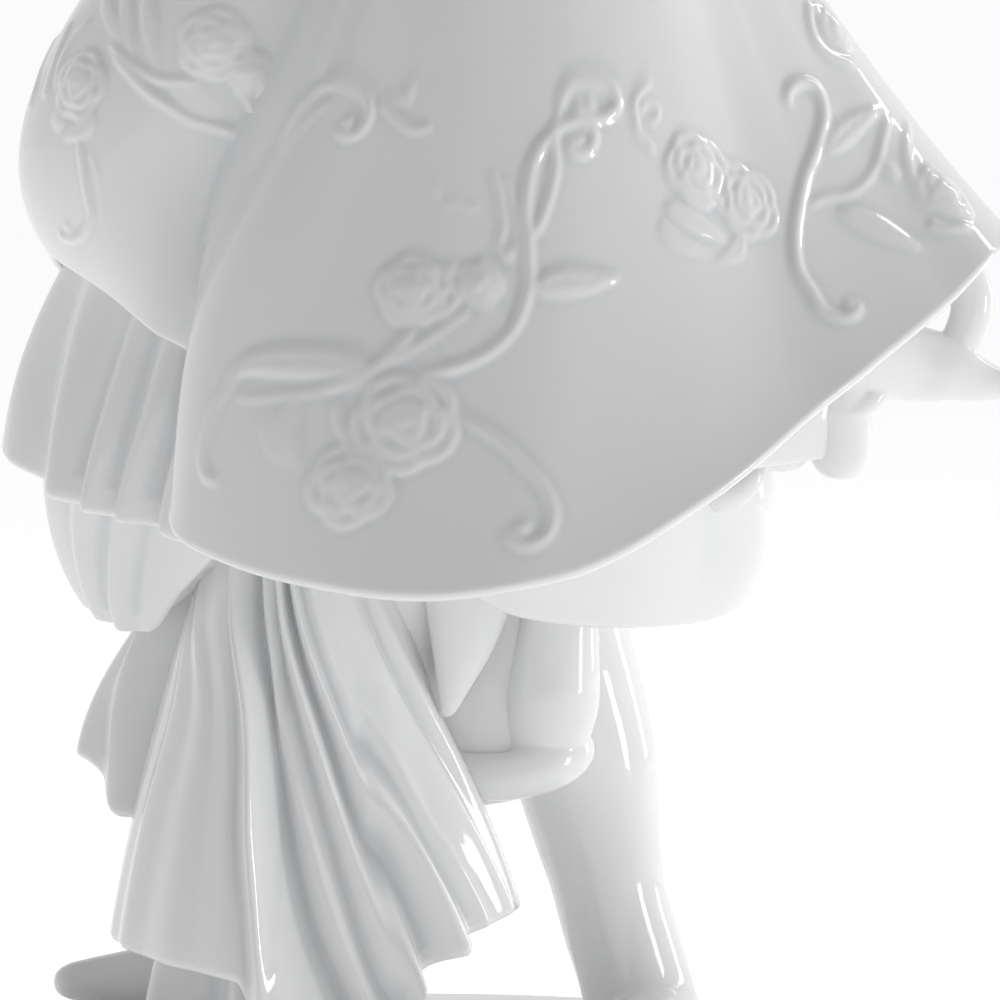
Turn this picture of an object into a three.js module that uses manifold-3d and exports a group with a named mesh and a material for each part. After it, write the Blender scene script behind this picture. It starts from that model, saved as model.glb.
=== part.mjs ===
// A white glazed porcelain figurine of a dancing couple, cast and fired as one piece on a low oval base.
// Millimetres, +Z up. The origin is on the floor under the middle of the piece; the front is towards -Y.
// The lady's gown hangs in six layers, the widest on the outside. The gentleman stands close behind her.
// Heights are above the base's top face, and places are from the lady's own axis, until the last step
// sets the couple on its base and brings the middle of the piece over the origin.

import * as THREE from "three";
import { ParametricGeometry } from "three/addons/geometries/ParametricGeometry.js";
import { mergeVertices } from "three/addons/utils/BufferGeometryUtils.js";
import Module from "manifold-3d";

const wasm = await Module();
wasm.setup();

const DEGREE = Math.PI / 180;
const TURN = 360;
const UP = new THREE.Vector3(0, 0, 1);

// Driving dimensions of the piece.
const BASE = { x: -8, y: 2, width: 150, depth: 112, height: 6, round: 2.4 };
const MIDDLE = { x: 9.2, y: -16.2 }; // middle of the piece, measured from the lady's axis
const WAIST_HEIGHT = 259;
const HEM = 2.6; // thickness of a hem of the gown
const RIM_CLIMB = 0.6; // how far a hem's inner edge stands above its outer one
const SEAM = 0.2; // edges shorter than this are closed up where bodies join
const PORCELAIN = { color: 0xf3f3f1, roughness: 0.12, metalness: 0 };

// A layer of the gown hangs from a ring at its top and ends in a hem. Each rib states the hem at one
// bearing, in degrees anticlockwise from +X seen from above: [bearing, reach from the layer's own axis,
// height, lean, flare]. Lean is the cloth's angle from the vertical at the hem and flare its angle at
// the top, both outwards when positive. A rib without a flare has its layer's own.
// A layer's rise is how far its underside climbs from the hem to the axis. Where a crease slants down it,
// its slant turns the bearings within a width of the crease, at even drops from the ring to the hem.
// Its folds fan out from line to line. Each line is the fold's bearings at even drops, how far the cloth
// stands out there at the ring, and how far at the hem. Its fine stretch takes a share of its columns.
const GOWN = {
  overskirt: {
    top: { x: -2, y: -10, z: WAIST_HEIGHT, reach: 19, depth: 0.76 },
    axis: { x: 0, y: -12 },
    flare: 36,
    swirl: 25,
    slant: { bearing: 226, width: 16, turns: [13, 13.5, 12.5, 6.6, -4.4, -3.2] },
    rise: 26,
    columns: 51,
    fine: { from: 165, to: 360, share: 0.74 },
    rows: 8,
    ribs: [
      [0, 100.5, 145.6, 43, 40], [14, 88, 137.6, 32, 40], [28, 66, 124, 18], [48, 50, 119, 8],
      [68, 40, 119, 4], [90, 38, 123, 0], [112, 41, 119, 4], [132, 54, 121, -4], [150, 65, 129, -14],
      [166, 72, 137.5, -25.5, 18], [182, 72, 143, -31.5, 11], [200, 64.8, 137, -26, 26],
      [213, 61, 131, -10], [221, 56, 126, -2], [226, 63, 109.2, 0], [231, 72, 99.2, 2],
      [236, 76, 96.2, 4], [251, 80, 91.2, 10], [266, 84, 89.2, 14], [282, 86, 92.2, 18],
      [302, 85, 105.2, 26], [316, 84, 116.6, 32], [328, 87, 126.4, 36], [340, 92.5, 136, 40, 39],
      [350, 98, 144.1, 43, 40],
    ],
  },
  firstFlounce: {
    top: { x: -4, y: -8, z: 175, reach: 38, depth: 0.8 },
    axis: { x: -6, y: -4 },
    flare: 24,
    rise: 16,
    columns: 38,
    fine: { from: 155, to: 245, share: 0.5 },
    rows: 3,
    ribs: [
      [0, 78, 114, -10], [20, 60, 112, 0], [50, 36, 112, 0], [90, 28, 110, 0], [130, 45, 110, 0],
      [160, 68, 110, 4, 40], [176, 74, 108, 8, 44], [188, 70, 104, 8, 40], [200, 66, 100, 4],
      [215, 58, 96, 0],
      [235, 52, 92, 0], [270, 50, 100, 0], [310, 55, 100, 0], [335, 66, 106, -8], [348, 78, 108, -20],
    ],
    folds: [
      [160, 162, 164, 166, 172, 0, 0], [170.6, 173.2, 175.9, 177.5, 182.9, 0.3, 1.3],
      [178, 180.9, 183.8, 188, 191.5, -0.4, -1.6], [187, 189.6, 192.2, 195, 197.5, 0.4, 1.4],
      [203, 203, 203.5, 203.2, 201.8, -0.4, -1.7], [212, 210, 208.5, 207, 204.9, 0.6, 1.3],
      [217, 215, 212.8, 210.8, 207.8, -0.3, -1.2], [220, 218, 216, 214.2, 210.8, 0.2, 0.7],
      [223.5, 221.6, 219.4, 217.7, 214, -0.8, -3.2], [227.5, 226.4, 224.5, 222.6, 219.4, 0.4, 0.9],
      [242, 241, 239, 237, 235, 0, 0],
    ],
  },
  secondFlounce: {
    top: { x: -8, y: -2, z: 122, share: 0.98, depth: 0.9 },
    axis: { x: -6, y: 2 },
    flare: 14,
    rise: 8,
    columns: 36,
    fine: { from: 170, to: 230, share: 0.4 },
    rows: 3,
    ribs: [
      [0, 60, 82, -30, 30], [25, 45, 84, -10], [60, 28, 86, 0], [110, 30, 86, 0], [150, 54, 80, -14, 36],
      [172, 60, 79, -34, 54], [185, 58, 77, -34, 54], [197, 53, 75, -26, 36], [210, 48, 84, -14],
      [223, 45, 92, -5], [245, 43, 94, 0], [264, 44, 93, 0], [280, 47, 86, -2], [292, 50, 81, -5],
      [312, 54, 78.5, -12, 26], [330, 57, 78, -20, 30], [345, 61, 80, -36, 32],
    ],
    folds: [
      [182, 180, 178, 176, 174, 0, 0], [190.6, 187.3, 183.9, 181.5, 179.5, 0.4, 1.1],
      [196.2, 193.5, 190.2, 187, 184, -0.4, -1.1], [200, 197.5, 194.4, 191.2, 187.7, 0.4, 1.1],
      [205.6, 202.5, 199, 195, 190.9, -0.4, -1.2], [210.4, 206.8, 203, 198.9, 194.2, 0.5, 1.1],
      [216.5, 212, 207.5, 203, 197.5, -0.6, -1.5], [228, 224, 220, 216, 210, 0, 0],
    ],
  },
  thirdFlounce: {
    top: { x: -14, y: 2, z: 105, reach: 20, depth: 0.8 },
    axis: { x: -20, y: 4 },
    flare: 24,
    rise: 12,
    columns: 38,
    fine: { from: 160, to: 360, share: 0.8 },
    rows: 4,
    ribs: [
      [0, 40, 46, -20], [30, 30, 46, 0], [90, 24, 46, 0], [140, 36, 46, 0], [168, 46, 52, 6],
      [185, 46, 52, 4], [200, 40, 42, 4], [220, 28, 42, 0], [270, 14, 45, 0], [300, 15, 44, 0],
      [318, 19, 43, -4], [326, 25, 43.5, -8], [332, 33, 44.5, -14], [339, 39.5, 46, -18],
      [350, 42, 48, -22],
    ],
    folds: [
      [158, 160, 165, 169, 175, 0, 0], [168, 170, 174, 178, 184, 0.4, 1.5],
      [173, 175, 180, 185.4, 190.6, -0.4, -1.3], [178, 180.5, 186, 192.4, 197.6, 0.4, 1.5],
      [185, 189, 196.8, 201, 204.5, -0.6, -2.2], [202, 208, 214, 218, 222, 0, 0],
    ],
  },
  frontFall: {
    top: { x: -26, y: -10, z: 108, reach: 11, depth: 1 },
    axis: { x: -25, y: -8 },
    flare: 20,
    rise: 12,
    columns: 59,
    fine: { from: 165, to: 362, share: 0.86 },
    rows: 6,
    ribs: [
      [0, 35, 24, 12, 6], [30, 30, 20, 4, 8], [60, 26, 18, 4], [90, 28, 16, 4], [120, 26, 16, 4],
      [150, 32, 18, 4], [175, 34, 20, 6], [192, 36.5, 21, 10, 20], [205, 37, 20.5, 8, 20],
      [218, 37.5, 19.5, 6, 18], [230, 38.5, 19, 6, 16], [243, 39.5, 18, 6, 16], [252, 40, 17, 6, 16],
      [257, 40, 8, 6, 16], [262, 39.5, 0, 8, 14], [272, 39, -1, 10, 13], [287, 39, -1, 12, 9],
      [292, 39, 1, 13, 8], [299, 38.5, 12, 16, 6], [307, 38, 19, 15, 4], [319, 38, 22, 18, 4],
      [330, 37.5, 25, 17, 4], [344, 37.5, 27, 18, 4],
    ],
    folds: [
      [168, 176, 199, 197, 194, 0, 0], [174, 183, 205, 203.5, 200.5, -0.1, -0.3],
      [178, 187, 211, 209.3, 208, 0.2, 0.4], [182, 191, 219, 219.5, 217.5, -0.1, -0.4],
      [187, 196, 227.1, 231.6, 231, 0.3, 0.7], [198, 205, 232.1, 238.5, 238.8, -0.1, -0.2],
      [207, 215, 238.7, 246.1, 247.5, 0.1, 0.2], [216, 224, 243.3, 249.6, 254.3, -0.3, -0.7],
      [224, 231.5, 249.5, 255.6, 261.4, 2.2, 3.6], [231, 238, 256.3, 270.6, 290, -3.6, -6.6],
      [237.4, 246.9, 264.7, 279.3, 294.4, -1.4, 0], [242.6, 252.2, 271.3, 285.6, 297, -1.8, -1.8],
      [248, 258, 276.8, 291.8, 300.4, 1.6, 3.2], [251, 262, 282.8, 298.2, 304.8, -1.4, -2.8],
      [253.5, 265.7, 289, 304.6, 314, 1.6, 3.2], [257, 270, 294.5, 310.7, 322.5, -1, -2.4],
      [264, 277, 301, 317, 329, -0.2, 0.2], [287.1, 296.8, 315.5, 329, 338.1, 0.9, 1.9],
      [303.6, 310, 323.9, 336.1, 342.3, -0.5, -1.6], [308.9, 315.8, 330.5, 344.8, 349.2, 0.5, 1.2],
      [320, 327, 342, 357, 361, 0, 0],
    ],
  },
  petticoat: {
    top: { x: -25, y: -4, z: 60, reach: 14, depth: 1 },
    axis: { x: -28, y: -2 },
    flare: 6,
    rise: 0,
    columns: 10,
    rows: 2,
    ribs: [
      [0, 22, -1, 0], [90, 26, -1, 0], [150, 26, -1, 0], [185, 28, -1, 0], [200, 24, -1, 0],
      [225, 20, -1, 0], [250, 26, -1, 0], [300, 26, -1, 0],
    ],
  },
};

// Bodies are lofted through level ovals: [x, y, height, half width, half depth], from the top down.
const LADY_BODY = [
  [-8, -7, 376, 7.5, 8], [-7, -6.5, 362, 7.6, 8], [-6, -6, 352, 8.5, 8.5], [-5, -6, 347, 16, 9.5],
  [-5, -7, 340, 29, 11], [-5, -8, 332, 27, 12.5], [-5, -10, 318, 23, 15.5], [-5, -12, 303, 24, 18.5],
  [-4, -11, 285, 20.5, 15.5], [-3, -10, 266, 17.5, 13.5], [-2, -10, 250, 22, 16.5],
];
const GENTLEMAN_BODY = [
  [16, 24, 386, 9.5, 10], [17, 26, 372, 9.5, 10], [18, 28, 362, 11, 10.5], [19, 30, 356, 21, 12],
  [20, 31, 348, 38, 15], [20, 31, 338, 36, 18], [20, 31, 318, 32, 20], [20, 32, 290, 27, 18.5],
  [19, 34, 262, 22.5, 17], [17, 36, 235, 26, 20.5], [16, 37, 212, 25, 20], [15, 37, 196, 20, 16],
];
const STANDING_LEG = [
  [17, 35, 216, 19, 17], [15, 34, 150, 17, 17], [14, 32, 100, 16, 16], [17, 32, 77, 14.5, 14],
  [20.5, 31, 62, 14.5, 14], [23.5, 30, 50, 14, 13], [25.5, 30, 39.5, 12.8, 12.5],
  [27.2, 30, 31, 11.7, 12], [29, 30, 23, 10.7, 11.5], [31.5, 30, 14, 10.8, 11.5],
  [34, 29.5, 6, 10.7, 11.5], [35.4, 29, -0.5, 10.5, 11.4],
];
const STRIDING_LEG = [
  [8, 38, 218, 18, 17], [-2, 41, 180, 17.5, 17.5], [-13, 43, 130, 15, 16], [-25, 41, 85, 13, 14],
  [-35, 37, 48, 11.5, 12.5], [-42, 35, 22, 10, 11.5], [-44, 34, 6, 9.5, 11],
];
const COAT_TAILS = [
  [
    [13, 50, 246, 12, 7], [8, 56, 215, 12.5, 6], [3, 60, 180, 11.5, 4.6], [0, 61, 150, 9.5, 3.8],
    [-1, 61, 138, 6, 2.6],
  ],
  [
    [23, 50, 246, 12, 7], [28, 56, 215, 12.5, 6], [32, 60, 180, 11.5, 4.6], [34, 61, 150, 9.5, 3.8],
    [35, 61, 138, 6, 2.6],
  ],
];

// Limbs are round sections strung on a smooth path: [x, y, height, radius], with round ends.
const ARMS = {
  ladyRight: [
    [-31, -7, 338, 9], [-43, -3, 318, 8.6], [-56, 2, 286, 7.4], [-57, -6, 262, 6.6], [-51, -17, 235, 4.8],
  ],
  ladyLeft: [
    [22, -6, 338, 9], [38, -10, 322, 8], [48, -9, 308, 7.2], [54, 3, 326, 6.2], [55, 12, 345, 4.8],
  ],
  gentlemanRight: [
    [-17, 31, 343, 12], [-32, 35, 316, 11], [-42, 27, 286, 9.4], [-36, 6, 272, 8], [-25, -12, 266, 5.6],
  ],
  gentlemanLeft: [
    [57, 31, 342, 12], [70, 30, 312, 11], [74, 18, 284, 9.4], [62, 0, 270, 8], [43, -14, 266, 5.6],
  ],
};
const SHOES = {
  standing: [[36.4, 34, 2.6, 9.6], [37.2, 22, 2.2, 8.4], [38, 11, 1.8, 6.8], [38.6, 4, 1.4, 5]],
  striding: [[-42, 36, 6.2, 8], [-52, 31, 6.4, 6.6], [-63, 26, 6.8, 4.6], [-70.4, 22, 6.8, 3.4]],
};
const SHOE_SQUASH = { standing: 0.5, striding: 1 };

// The cloth gathered up under the overskirt's hem: a roll that ends in a point, a turned block and tucks.
const GATHERS = {
  roll: [
    [56, -24, 129, 8], [72, -20, 125, 8], [82, -17, 123, 6.9], [88.5, -16.5, 121.8, 6],
    [94, -16, 119.9, 4], [99.5, -15, 118.8, 2.3],
  ],
  block: [[69.4, -20, 125, 5.8], [69.3, -21, 116, 5.8], [69.3, -21, 110.5, 5.7], [69.3, -21, 106.4, 5.2]],
  hem: [[50, -22, 112, 4], [55, -23, 108.4, 3.6], [59.4, -22.4, 106.8, 3], [62, -21, 106.6, 2]],
  tuck: [
    [80, -10, 150, 3.4], [88.5, -13, 141, 4.6], [93, -15, 134.6, 4], [91, -16, 127, 3.6],
    [87, -16, 123, 3.6],
  ],
  leaf: [[42, -24, 103, 4], [46.4, -27, 100, 3], [51, -27, 100.6, 2.4], [54.4, -25.4, 104, 2.2]],
  knee: [
    [21, -5, 104, 4.8], [20.4, -6.4, 90, 6], [19.4, -7.6, 76, 7.2], [18.2, -8.4, 62, 8.6],
    [16.8, -7.4, 53, 7],
  ],
  flap: [
    [4, -12, 94, 10], [3.6, -13, 84, 8.6], [2.4, -14.6, 74, 6.2], [0.8, -16, 66, 3.4],
    [-0.4, -17, 60.6, 1.4],
  ],
  lowRoll: [
    [-4, -8, 50, 4], [3, -10.5, 48.6, 4.2], [10, -12.6, 48.6, 4.4], [17, -12, 50.4, 4.8],
    [22, -7, 53, 5],
  ],
};

// A hand is a flat mitten of three joined fingers and a thumb: wrist, fingertips, and thumb's tip.
const HANDS = {
  ladyRight: { wrist: [-51, -17, 235], tips: [-46, -29, 210], thumb: [-38, -26, 225], half: 5.2 },
  ladyLeft: { wrist: [55, 12, 345], tips: [57, 33, 356], thumb: [47, 26, 355], half: 5.2 },
  gentlemanRight: { wrist: [-25, -12, 266], tips: [-3, -25, 262], thumb: [-10, -22, 274], half: 6.4 },
  gentlemanLeft: { wrist: [43, -14, 266], tips: [21, -21, 258], thumb: [28, -18, 272], half: 6.4 },
};

// A head is turned from facing -Y by its yaw, then nods down by its pitch, in degrees.
const HEADS = {
  lady: { x: -9, y: -8, z: 386, half: [16.4, 19.5, 25], yaw: 48, pitch: -14, strands: 9 },
  gentleman: { x: 14, y: 21, z: 399, half: [17.6, 21.5, 26.5], yaw: -36, pitch: 18, strands: 7 },
};
const CHIGNON = { back: 19, up: 4, half: [11, 9, 12] };

// A feature on the face: [across, up, half width, half height, rise], places in half widths and half
// heights of the head from its middle, and the rise in millimetres. Features off the middle come in pairs.
const FACE = [
  [0, 0.02, 0.16, 0.24, 1.8], // bridge of the nose
  [0, -0.2, 0.2, 0.13, 2.6], // tip of the nose
  [0.4, 0.1, 0.26, 0.15, -1.7], // eye sockets
  [0.4, 0.07, 0.17, 0.08, 1.1], // closed lids
  [0, -0.47, 0.3, 0.06, 1.2], // upper lip
  [0, -0.6, 0.24, 0.06, 1.1], // lower lip
  [0, -0.84, 0.32, 0.16, 1.8], // chin
];

// Low ornament on the front of the overskirt. Its places are in front elevation: [x, height].
// A rose is [x, height, radius], a leaf is [stalk, tip, half width], and a vine is a list of places.
const ORNAMENT = { roseRise: 2.2, vineRadius: 1.3, leafRise: 1.5, petals: 5 };
const ROSES = [
  [-6.5, 116.8, 8.8], [-17.4, 106.3, 7.2], [-6, 139.2, 6.2], [5, 142.6, 4.4], [43, 158.6, 7.2],
  [51.4, 153, 7.2], [85.5, 154, 5.6], [-40.6, 180.7, 6.4], [-33, 175.5, 4.6],
];
const LEAVES = [
  [[14, 138.4], [29, 141.4], 2.4], [[-11, 125.8], [-35.5, 121], 3.4], [[66.4, 152], [76.4, 168], 3],
  [[69, 150], [83, 144.2], 2.2],
];
const VINES = {
  stem: [
    [22, 164], [18, 166.5], [14, 161], [12.5, 152], [13.4, 143], [10.4, 134], [4, 127], [-5, 125.6],
    [-14, 125],
  ],
  end: [[-22, 122.2], [-30, 123], [-36, 121], [-40, 116.5], [-41.6, 109], [-39.8, 104.4], [-38, 107.5]],
  tendril: [[1, 118], [8.9, 114.4], [15, 109], [18.4, 102.5], [15.6, 97], [11.2, 97.8], [11.8, 100.6]],
  scroll: [[60, 171.5], [64, 172], [66, 168], [62, 160], [58.6, 149], [59.4, 139.5], [65.5, 133.4], [70, 135]],
  lobe: [[-59, 181], [-54, 176], [-48, 170.5], [-41.4, 166.6], [-36, 165]],
};

// A smooth curve through the ribs' values all the way round, which never swings past a rib.
function aroundTheAxis(ribs, value) {
  const n = ribs.length;
  const bearingOf = (i) => ribs[((i % n) + n) % n][0] + TURN * Math.floor(i / n);
  const valueOf = (i) => value(ribs[((i % n) + n) % n]);
  const secant = (i) => (valueOf(i + 1) - valueOf(i)) / (bearingOf(i + 1) - bearingOf(i));
  const slope = (i) => {
    const before = secant(i - 1);
    const after = secant(i);
    return before * after <= 0 ? 0 : (2 * before * after) / (before + after);
  };
  return (bearing) => {
    const turned = ((((bearing - ribs[0][0]) % TURN) + TURN) % TURN) + ribs[0][0];
    const i = ribs.findLastIndex((rib) => rib[0] <= turned);
    const width = bearingOf(i + 1) - bearingOf(i);
    const s = (turned - bearingOf(i)) / width;
    const start = (1 + 2 * s) * (1 - s) * (1 - s);
    const rise = s * (1 - s) * (1 - s) * width;
    const fall = s * s * (s - 1) * width;
    return start * valueOf(i) + (1 - start) * valueOf(i + 1) + rise * slope(i) + fall * slope(i + 1);
  };
}

// A smooth curve through values at even steps from 0 to 1.
function throughStations(stations) {
  const last = stations.length - 1;
  return (share) => {
    const place = Math.min(Math.max(share, 0), 1) * last;
    const i = Math.min(Math.floor(place), last - 1);
    const s = place - i;
    const at = (k) => stations[Math.min(Math.max(k, 0), last)];
    return at(i).map((value, axis) => {
      const [before, next, after] = [at(i - 1)[axis], at(i + 1)[axis], at(i + 2)[axis]];
      const bend = 2 * before - 5 * value + 4 * next - after;
      const twist = 3 * (value - next) + after - before;
      return value + 0.5 * s * (next - before + s * (bend + s * twist));
    });
  };
}

// The place on a layer's cloth at a bearing, where drop runs from 0 at the top ring to 1 at the hem.
function layerShape(layer) {
  const reachOf = aroundTheAxis(layer.ribs, (rib) => rib[1]);
  const heightOf = aroundTheAxis(layer.ribs, (rib) => rib[2]);
  const leanOf = aroundTheAxis(layer.ribs, (rib) => rib[3]);
  const flareOf = aroundTheAxis(layer.ribs, (rib) => rib[4] ?? layer.flare);
  const { top, axis } = layer;
  const slantOf = layer.slant ? slantAlong(layer.slant) : () => 0;
  const foldOf = layer.folds ? foldHeight(layer.folds) : () => 0;
  const grip = 0.33;
  return (bearing, drop) => {
    const hem = { r: reachOf(bearing), z: heightOf(bearing) };
    const start = { r: top.share ? top.share * hem.r : top.reach, z: top.z };
    const lean = leanOf(bearing) * DEGREE;
    const flare = flareOf(bearing) * DEGREE;
    const pull = grip * Math.hypot(hem.r - start.r, start.z - hem.z);
    const profile = new THREE.CubicBezierCurve(
      new THREE.Vector2(start.r, start.z),
      new THREE.Vector2(start.r + pull * Math.sin(flare), start.z - pull * Math.cos(flare)),
      new THREE.Vector2(hem.r - pull * Math.sin(lean), hem.z + pull * Math.cos(lean)),
      new THREE.Vector2(hem.r, hem.z),
    );
    const place = profile.getPoint(drop);
    const reach = place.x + foldOf(bearing, drop);
    const angle = (bearing + slantOf(bearing, drop) + (layer.swirl ?? 0) * (1 - drop)) * DEGREE;
    const flat = top.depth + (1 - top.depth) * drop;
    const x = top.x + (axis.x - top.x) * drop + reach * Math.cos(angle);
    const y = top.y + (axis.y - top.y) * drop + reach * flat * Math.sin(angle);
    return new THREE.Vector3(x, y, place.y);
  };
}

// How far a crease's slant turns a bearing near it, in degrees.
function slantAlong({ bearing: crease, width, turns }) {
  const turnOf = throughStations(turns.map((turn) => [turn]));
  return (bearing, drop) => {
    const away = ((((bearing - crease + TURN / 2) % TURN) + TURN) % TURN) - TURN / 2;
    return turnOf(drop)[0] * Math.exp(-((away / width) ** 2));
  };
}

// How far a layer's folds stand out at a bearing, eased from each fold line to the next.
function foldHeight(folds) {
  const lines = folds.map((line) => ({
    way: throughStations(line.slice(0, 5).map((bearing) => [bearing])),
    top: line[5],
    hem: line[6],
  }));
  return (bearing, drop) => {
    const ways = lines.map(({ way }) => way(drop)[0]);
    const heights = lines.map(({ top, hem }) => top + (hem - top) * drop);
    const turned = ((((bearing - ways[0]) % TURN) + TURN) % TURN) + ways[0];
    const i = Math.min(ways.findLastIndex((way) => way <= turned), lines.length - 2);
    const share = Math.min((turned - ways[i]) / (ways[i + 1] - ways[i]), 1);
    return heights[i] + (heights[i + 1] - heights[i]) * share * share * (3 - 2 * share);
  };
}

// The bearing of a column at a share of the way round, with the columns closer in the fine stretch.
function columnBearing({ fine }, share) {
  if (!fine) return TURN * share;
  if (share <= fine.share) return fine.from + ((fine.to - fine.from) * share) / fine.share;
  return fine.to + ((TURN - fine.to + fine.from) * (share - fine.share)) / (1 - fine.share);
}

// A closed skin of rings, where at(share, row) gives a point a share of a turn clockwise round ring row.
function skin(columns, rows, at) {
  const shape = (share, step, target) => target.copy(at(share, Math.round(step * rows)));
  const geometry = new ParametricGeometry(shape, columns, rows);
  geometry.deleteAttribute("normal");
  geometry.deleteAttribute("uv");
  const merged = mergeVertices(geometry, 1e-3);
  const corners = Array.from(merged.index.array);
  const triVerts = [];
  for (let i = 0; i < corners.length; i += 3) {
    const [a, b, c] = corners.slice(i, i + 3);
    if (a !== b && b !== c && c !== a) triVerts.push(a, b, c);
  }
  const vertProperties = Float32Array.from(merged.attributes.position.array);
  return new wasm.Manifold(new wasm.Mesh({ numProp: 3, vertProperties, triVerts: Uint32Array.from(triVerts) }));
}

// A layer of cloth down to its hem, a rim as thick as the hem, and an underside climbing to the axis.
function layerSolid(layer) {
  const shape = layerShape(layer);
  const { top, axis, rows } = layer;
  const meanHem = layer.ribs.reduce((sum, rib) => sum + rib[2], 0) / layer.ribs.length;
  const rim = rows + 2;
  return skin(layer.columns, rim + 1, (share, row) => {
    const bearing = columnBearing(layer, 1 - share);
    if (row === 0) return new THREE.Vector3(top.x, top.y, top.z);
    if (row < rim) return shape(bearing, (row - 1) / rows);
    if (row > rim) return new THREE.Vector3(axis.x, axis.y, meanHem + layer.rise);
    const hem = shape(bearing, 1);
    const inwards = new THREE.Vector3(axis.x - hem.x, axis.y - hem.y, 0).setLength(HEM);
    return hem.add(inwards).setZ(hem.z + RIM_CLIMB);
  });
}

// The front of the overskirt at a place in front elevation: the point there, and the ways across, down
// and out from the cloth.
const overskirtShape = layerShape(GOWN.overskirt);
function onOverskirt([x, z]) {
  let [bearing, drop] = nearestOnOverskirt(x, z);
  for (let round = 0; round < 5; round++) {
    const here = overskirtShape(bearing, drop);
    const across = overskirtShape(bearing + 1, drop).sub(here);
    const down = overskirtShape(bearing, drop + 0.01).sub(here);
    const area = across.x * down.z - across.z * down.x;
    bearing += ((x - here.x) * down.z - (z - here.z) * down.x) / area;
    drop += (0.01 * ((z - here.z) * across.x - (x - here.x) * across.z)) / area;
  }
  const point = overskirtShape(bearing, drop);
  const across = overskirtShape(bearing + 1, drop).sub(point).normalize();
  const down = overskirtShape(bearing, drop + 0.01).sub(point);
  const out = new THREE.Vector3().crossVectors(across, down).negate().normalize();
  return { point, across, down: new THREE.Vector3().crossVectors(across, out).normalize(), out };
}

function nearestOnOverskirt(x, z) {
  let nearest = { distance: Infinity };
  for (let bearing = 165; bearing <= 352; bearing += 3) {
    for (let drop = 0.25; drop < 1; drop += 0.05) {
      const place = overskirtShape(bearing, drop);
      const distance = Math.hypot(place.x - x, place.z - z);
      if (distance < nearest.distance) nearest = { distance, start: [bearing, drop] };
    }
  }
  return nearest.start;
}

// A rose is a low dome with a lobed edge, sunk a little into the cloth.
function roseSolid([x, z, radius]) {
  const { point, across, down, out } = onOverskirt([x, z]);
  const rise = ORNAMENT.roseRise;
  const rings = [[0, 0.7 * rise], [0.45, rise], [1, -0.4 * rise], [0, -rise]];
  return skin(ORNAMENT.petals * 2, rings.length - 1, (share, row) => {
    const [spread, height] = rings[row];
    const angle = -TURN * DEGREE * share;
    const reach = spread * radius * (1 + 0.1 * Math.cos(ORNAMENT.petals * angle));
    return point.clone()
      .addScaledVector(across, reach * Math.cos(angle))
      .addScaledVector(down, -reach * Math.sin(angle))
      .addScaledVector(out, height);
  });
}

function leafSolid([stalk, tip, halfWidth]) {
  const middle = onOverskirt([(stalk[0] + tip[0]) / 2, (stalk[1] + tip[1]) / 2]);
  const ends = [stalk, tip].map(onOverskirt);
  const path = [
    [...ends[0].point.toArray(), 0.3 * halfWidth],
    [...middle.point.toArray(), halfWidth],
    [...ends[1].point.toArray(), 0.2 * halfWidth],
  ];
  return limb(path, 6, 4, ORNAMENT.leafRise / halfWidth, middle.out);
}

function vineSolid(places) {
  const path = places.map((place) => [...onOverskirt(place).point.toArray(), ORNAMENT.vineRadius]);
  return limb(path, 4, places.length + 1, 1, onOverskirt(places[1]).out);
}

// A body lofted through level ovals, closed flat at both ends.
function loft(stations, columns, rows) {
  const section = throughStations(stations);
  return skin(columns, rows + 2, (share, row) => {
    const [x, y, z, width, depth] = section((row - 1) / rows);
    const end = row === 0 || row === rows + 2;
    const angle = -TURN * DEGREE * share;
    const open = end ? 0 : 1;
    return new THREE.Vector3(x + open * width * Math.cos(angle), y + open * depth * Math.sin(angle), z);
  });
}

// Frames carried along a path without twisting, from the way that a limb is flat at its start.
function framesAlong(section, rows, flatWay) {
  const frames = [];
  let flat = flatWay;
  for (let row = 0; row <= rows; row++) {
    const along = row / rows;
    const ahead = new THREE.Vector3(...section(along + 0.01).slice(0, 3));
    const behind = new THREE.Vector3(...section(along - 0.01).slice(0, 3));
    const tangent = ahead.sub(behind).normalize();
    const side = new THREE.Vector3().crossVectors(tangent, flat).normalize();
    flat = new THREE.Vector3().crossVectors(side, tangent);
    frames.push({ tangent, side, flat });
  }
  return frames;
}

// A limb of round section along its path, with a round end at each tip, squashed along its flat way.
function limb(stations, columns, rows, squash = 1, flatWay = new THREE.Vector3(0, 1, 0.2)) {
  const section = throughStations(stations);
  const frames = framesAlong(section, rows, flatWay);
  return skin(columns, rows, (share, row) => {
    const [x, y, z, radius] = section(row / rows);
    const { tangent, side, flat } = frames[row];
    const tip = Math.min(Math.min(row, rows - row) / 2, 1);
    const swell = radius * Math.sqrt(1 - (1 - tip) ** 2);
    const overhang = (row < rows / 2 ? -0.8 : 0.8) * radius * (1 - tip);
    const angle = -TURN * DEGREE * share;
    return new THREE.Vector3(x, y, z)
      .addScaledVector(tangent, overhang)
      .addScaledVector(side, swell * Math.cos(angle))
      .addScaledVector(flat, swell * squash * Math.sin(angle));
  });
}

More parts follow.
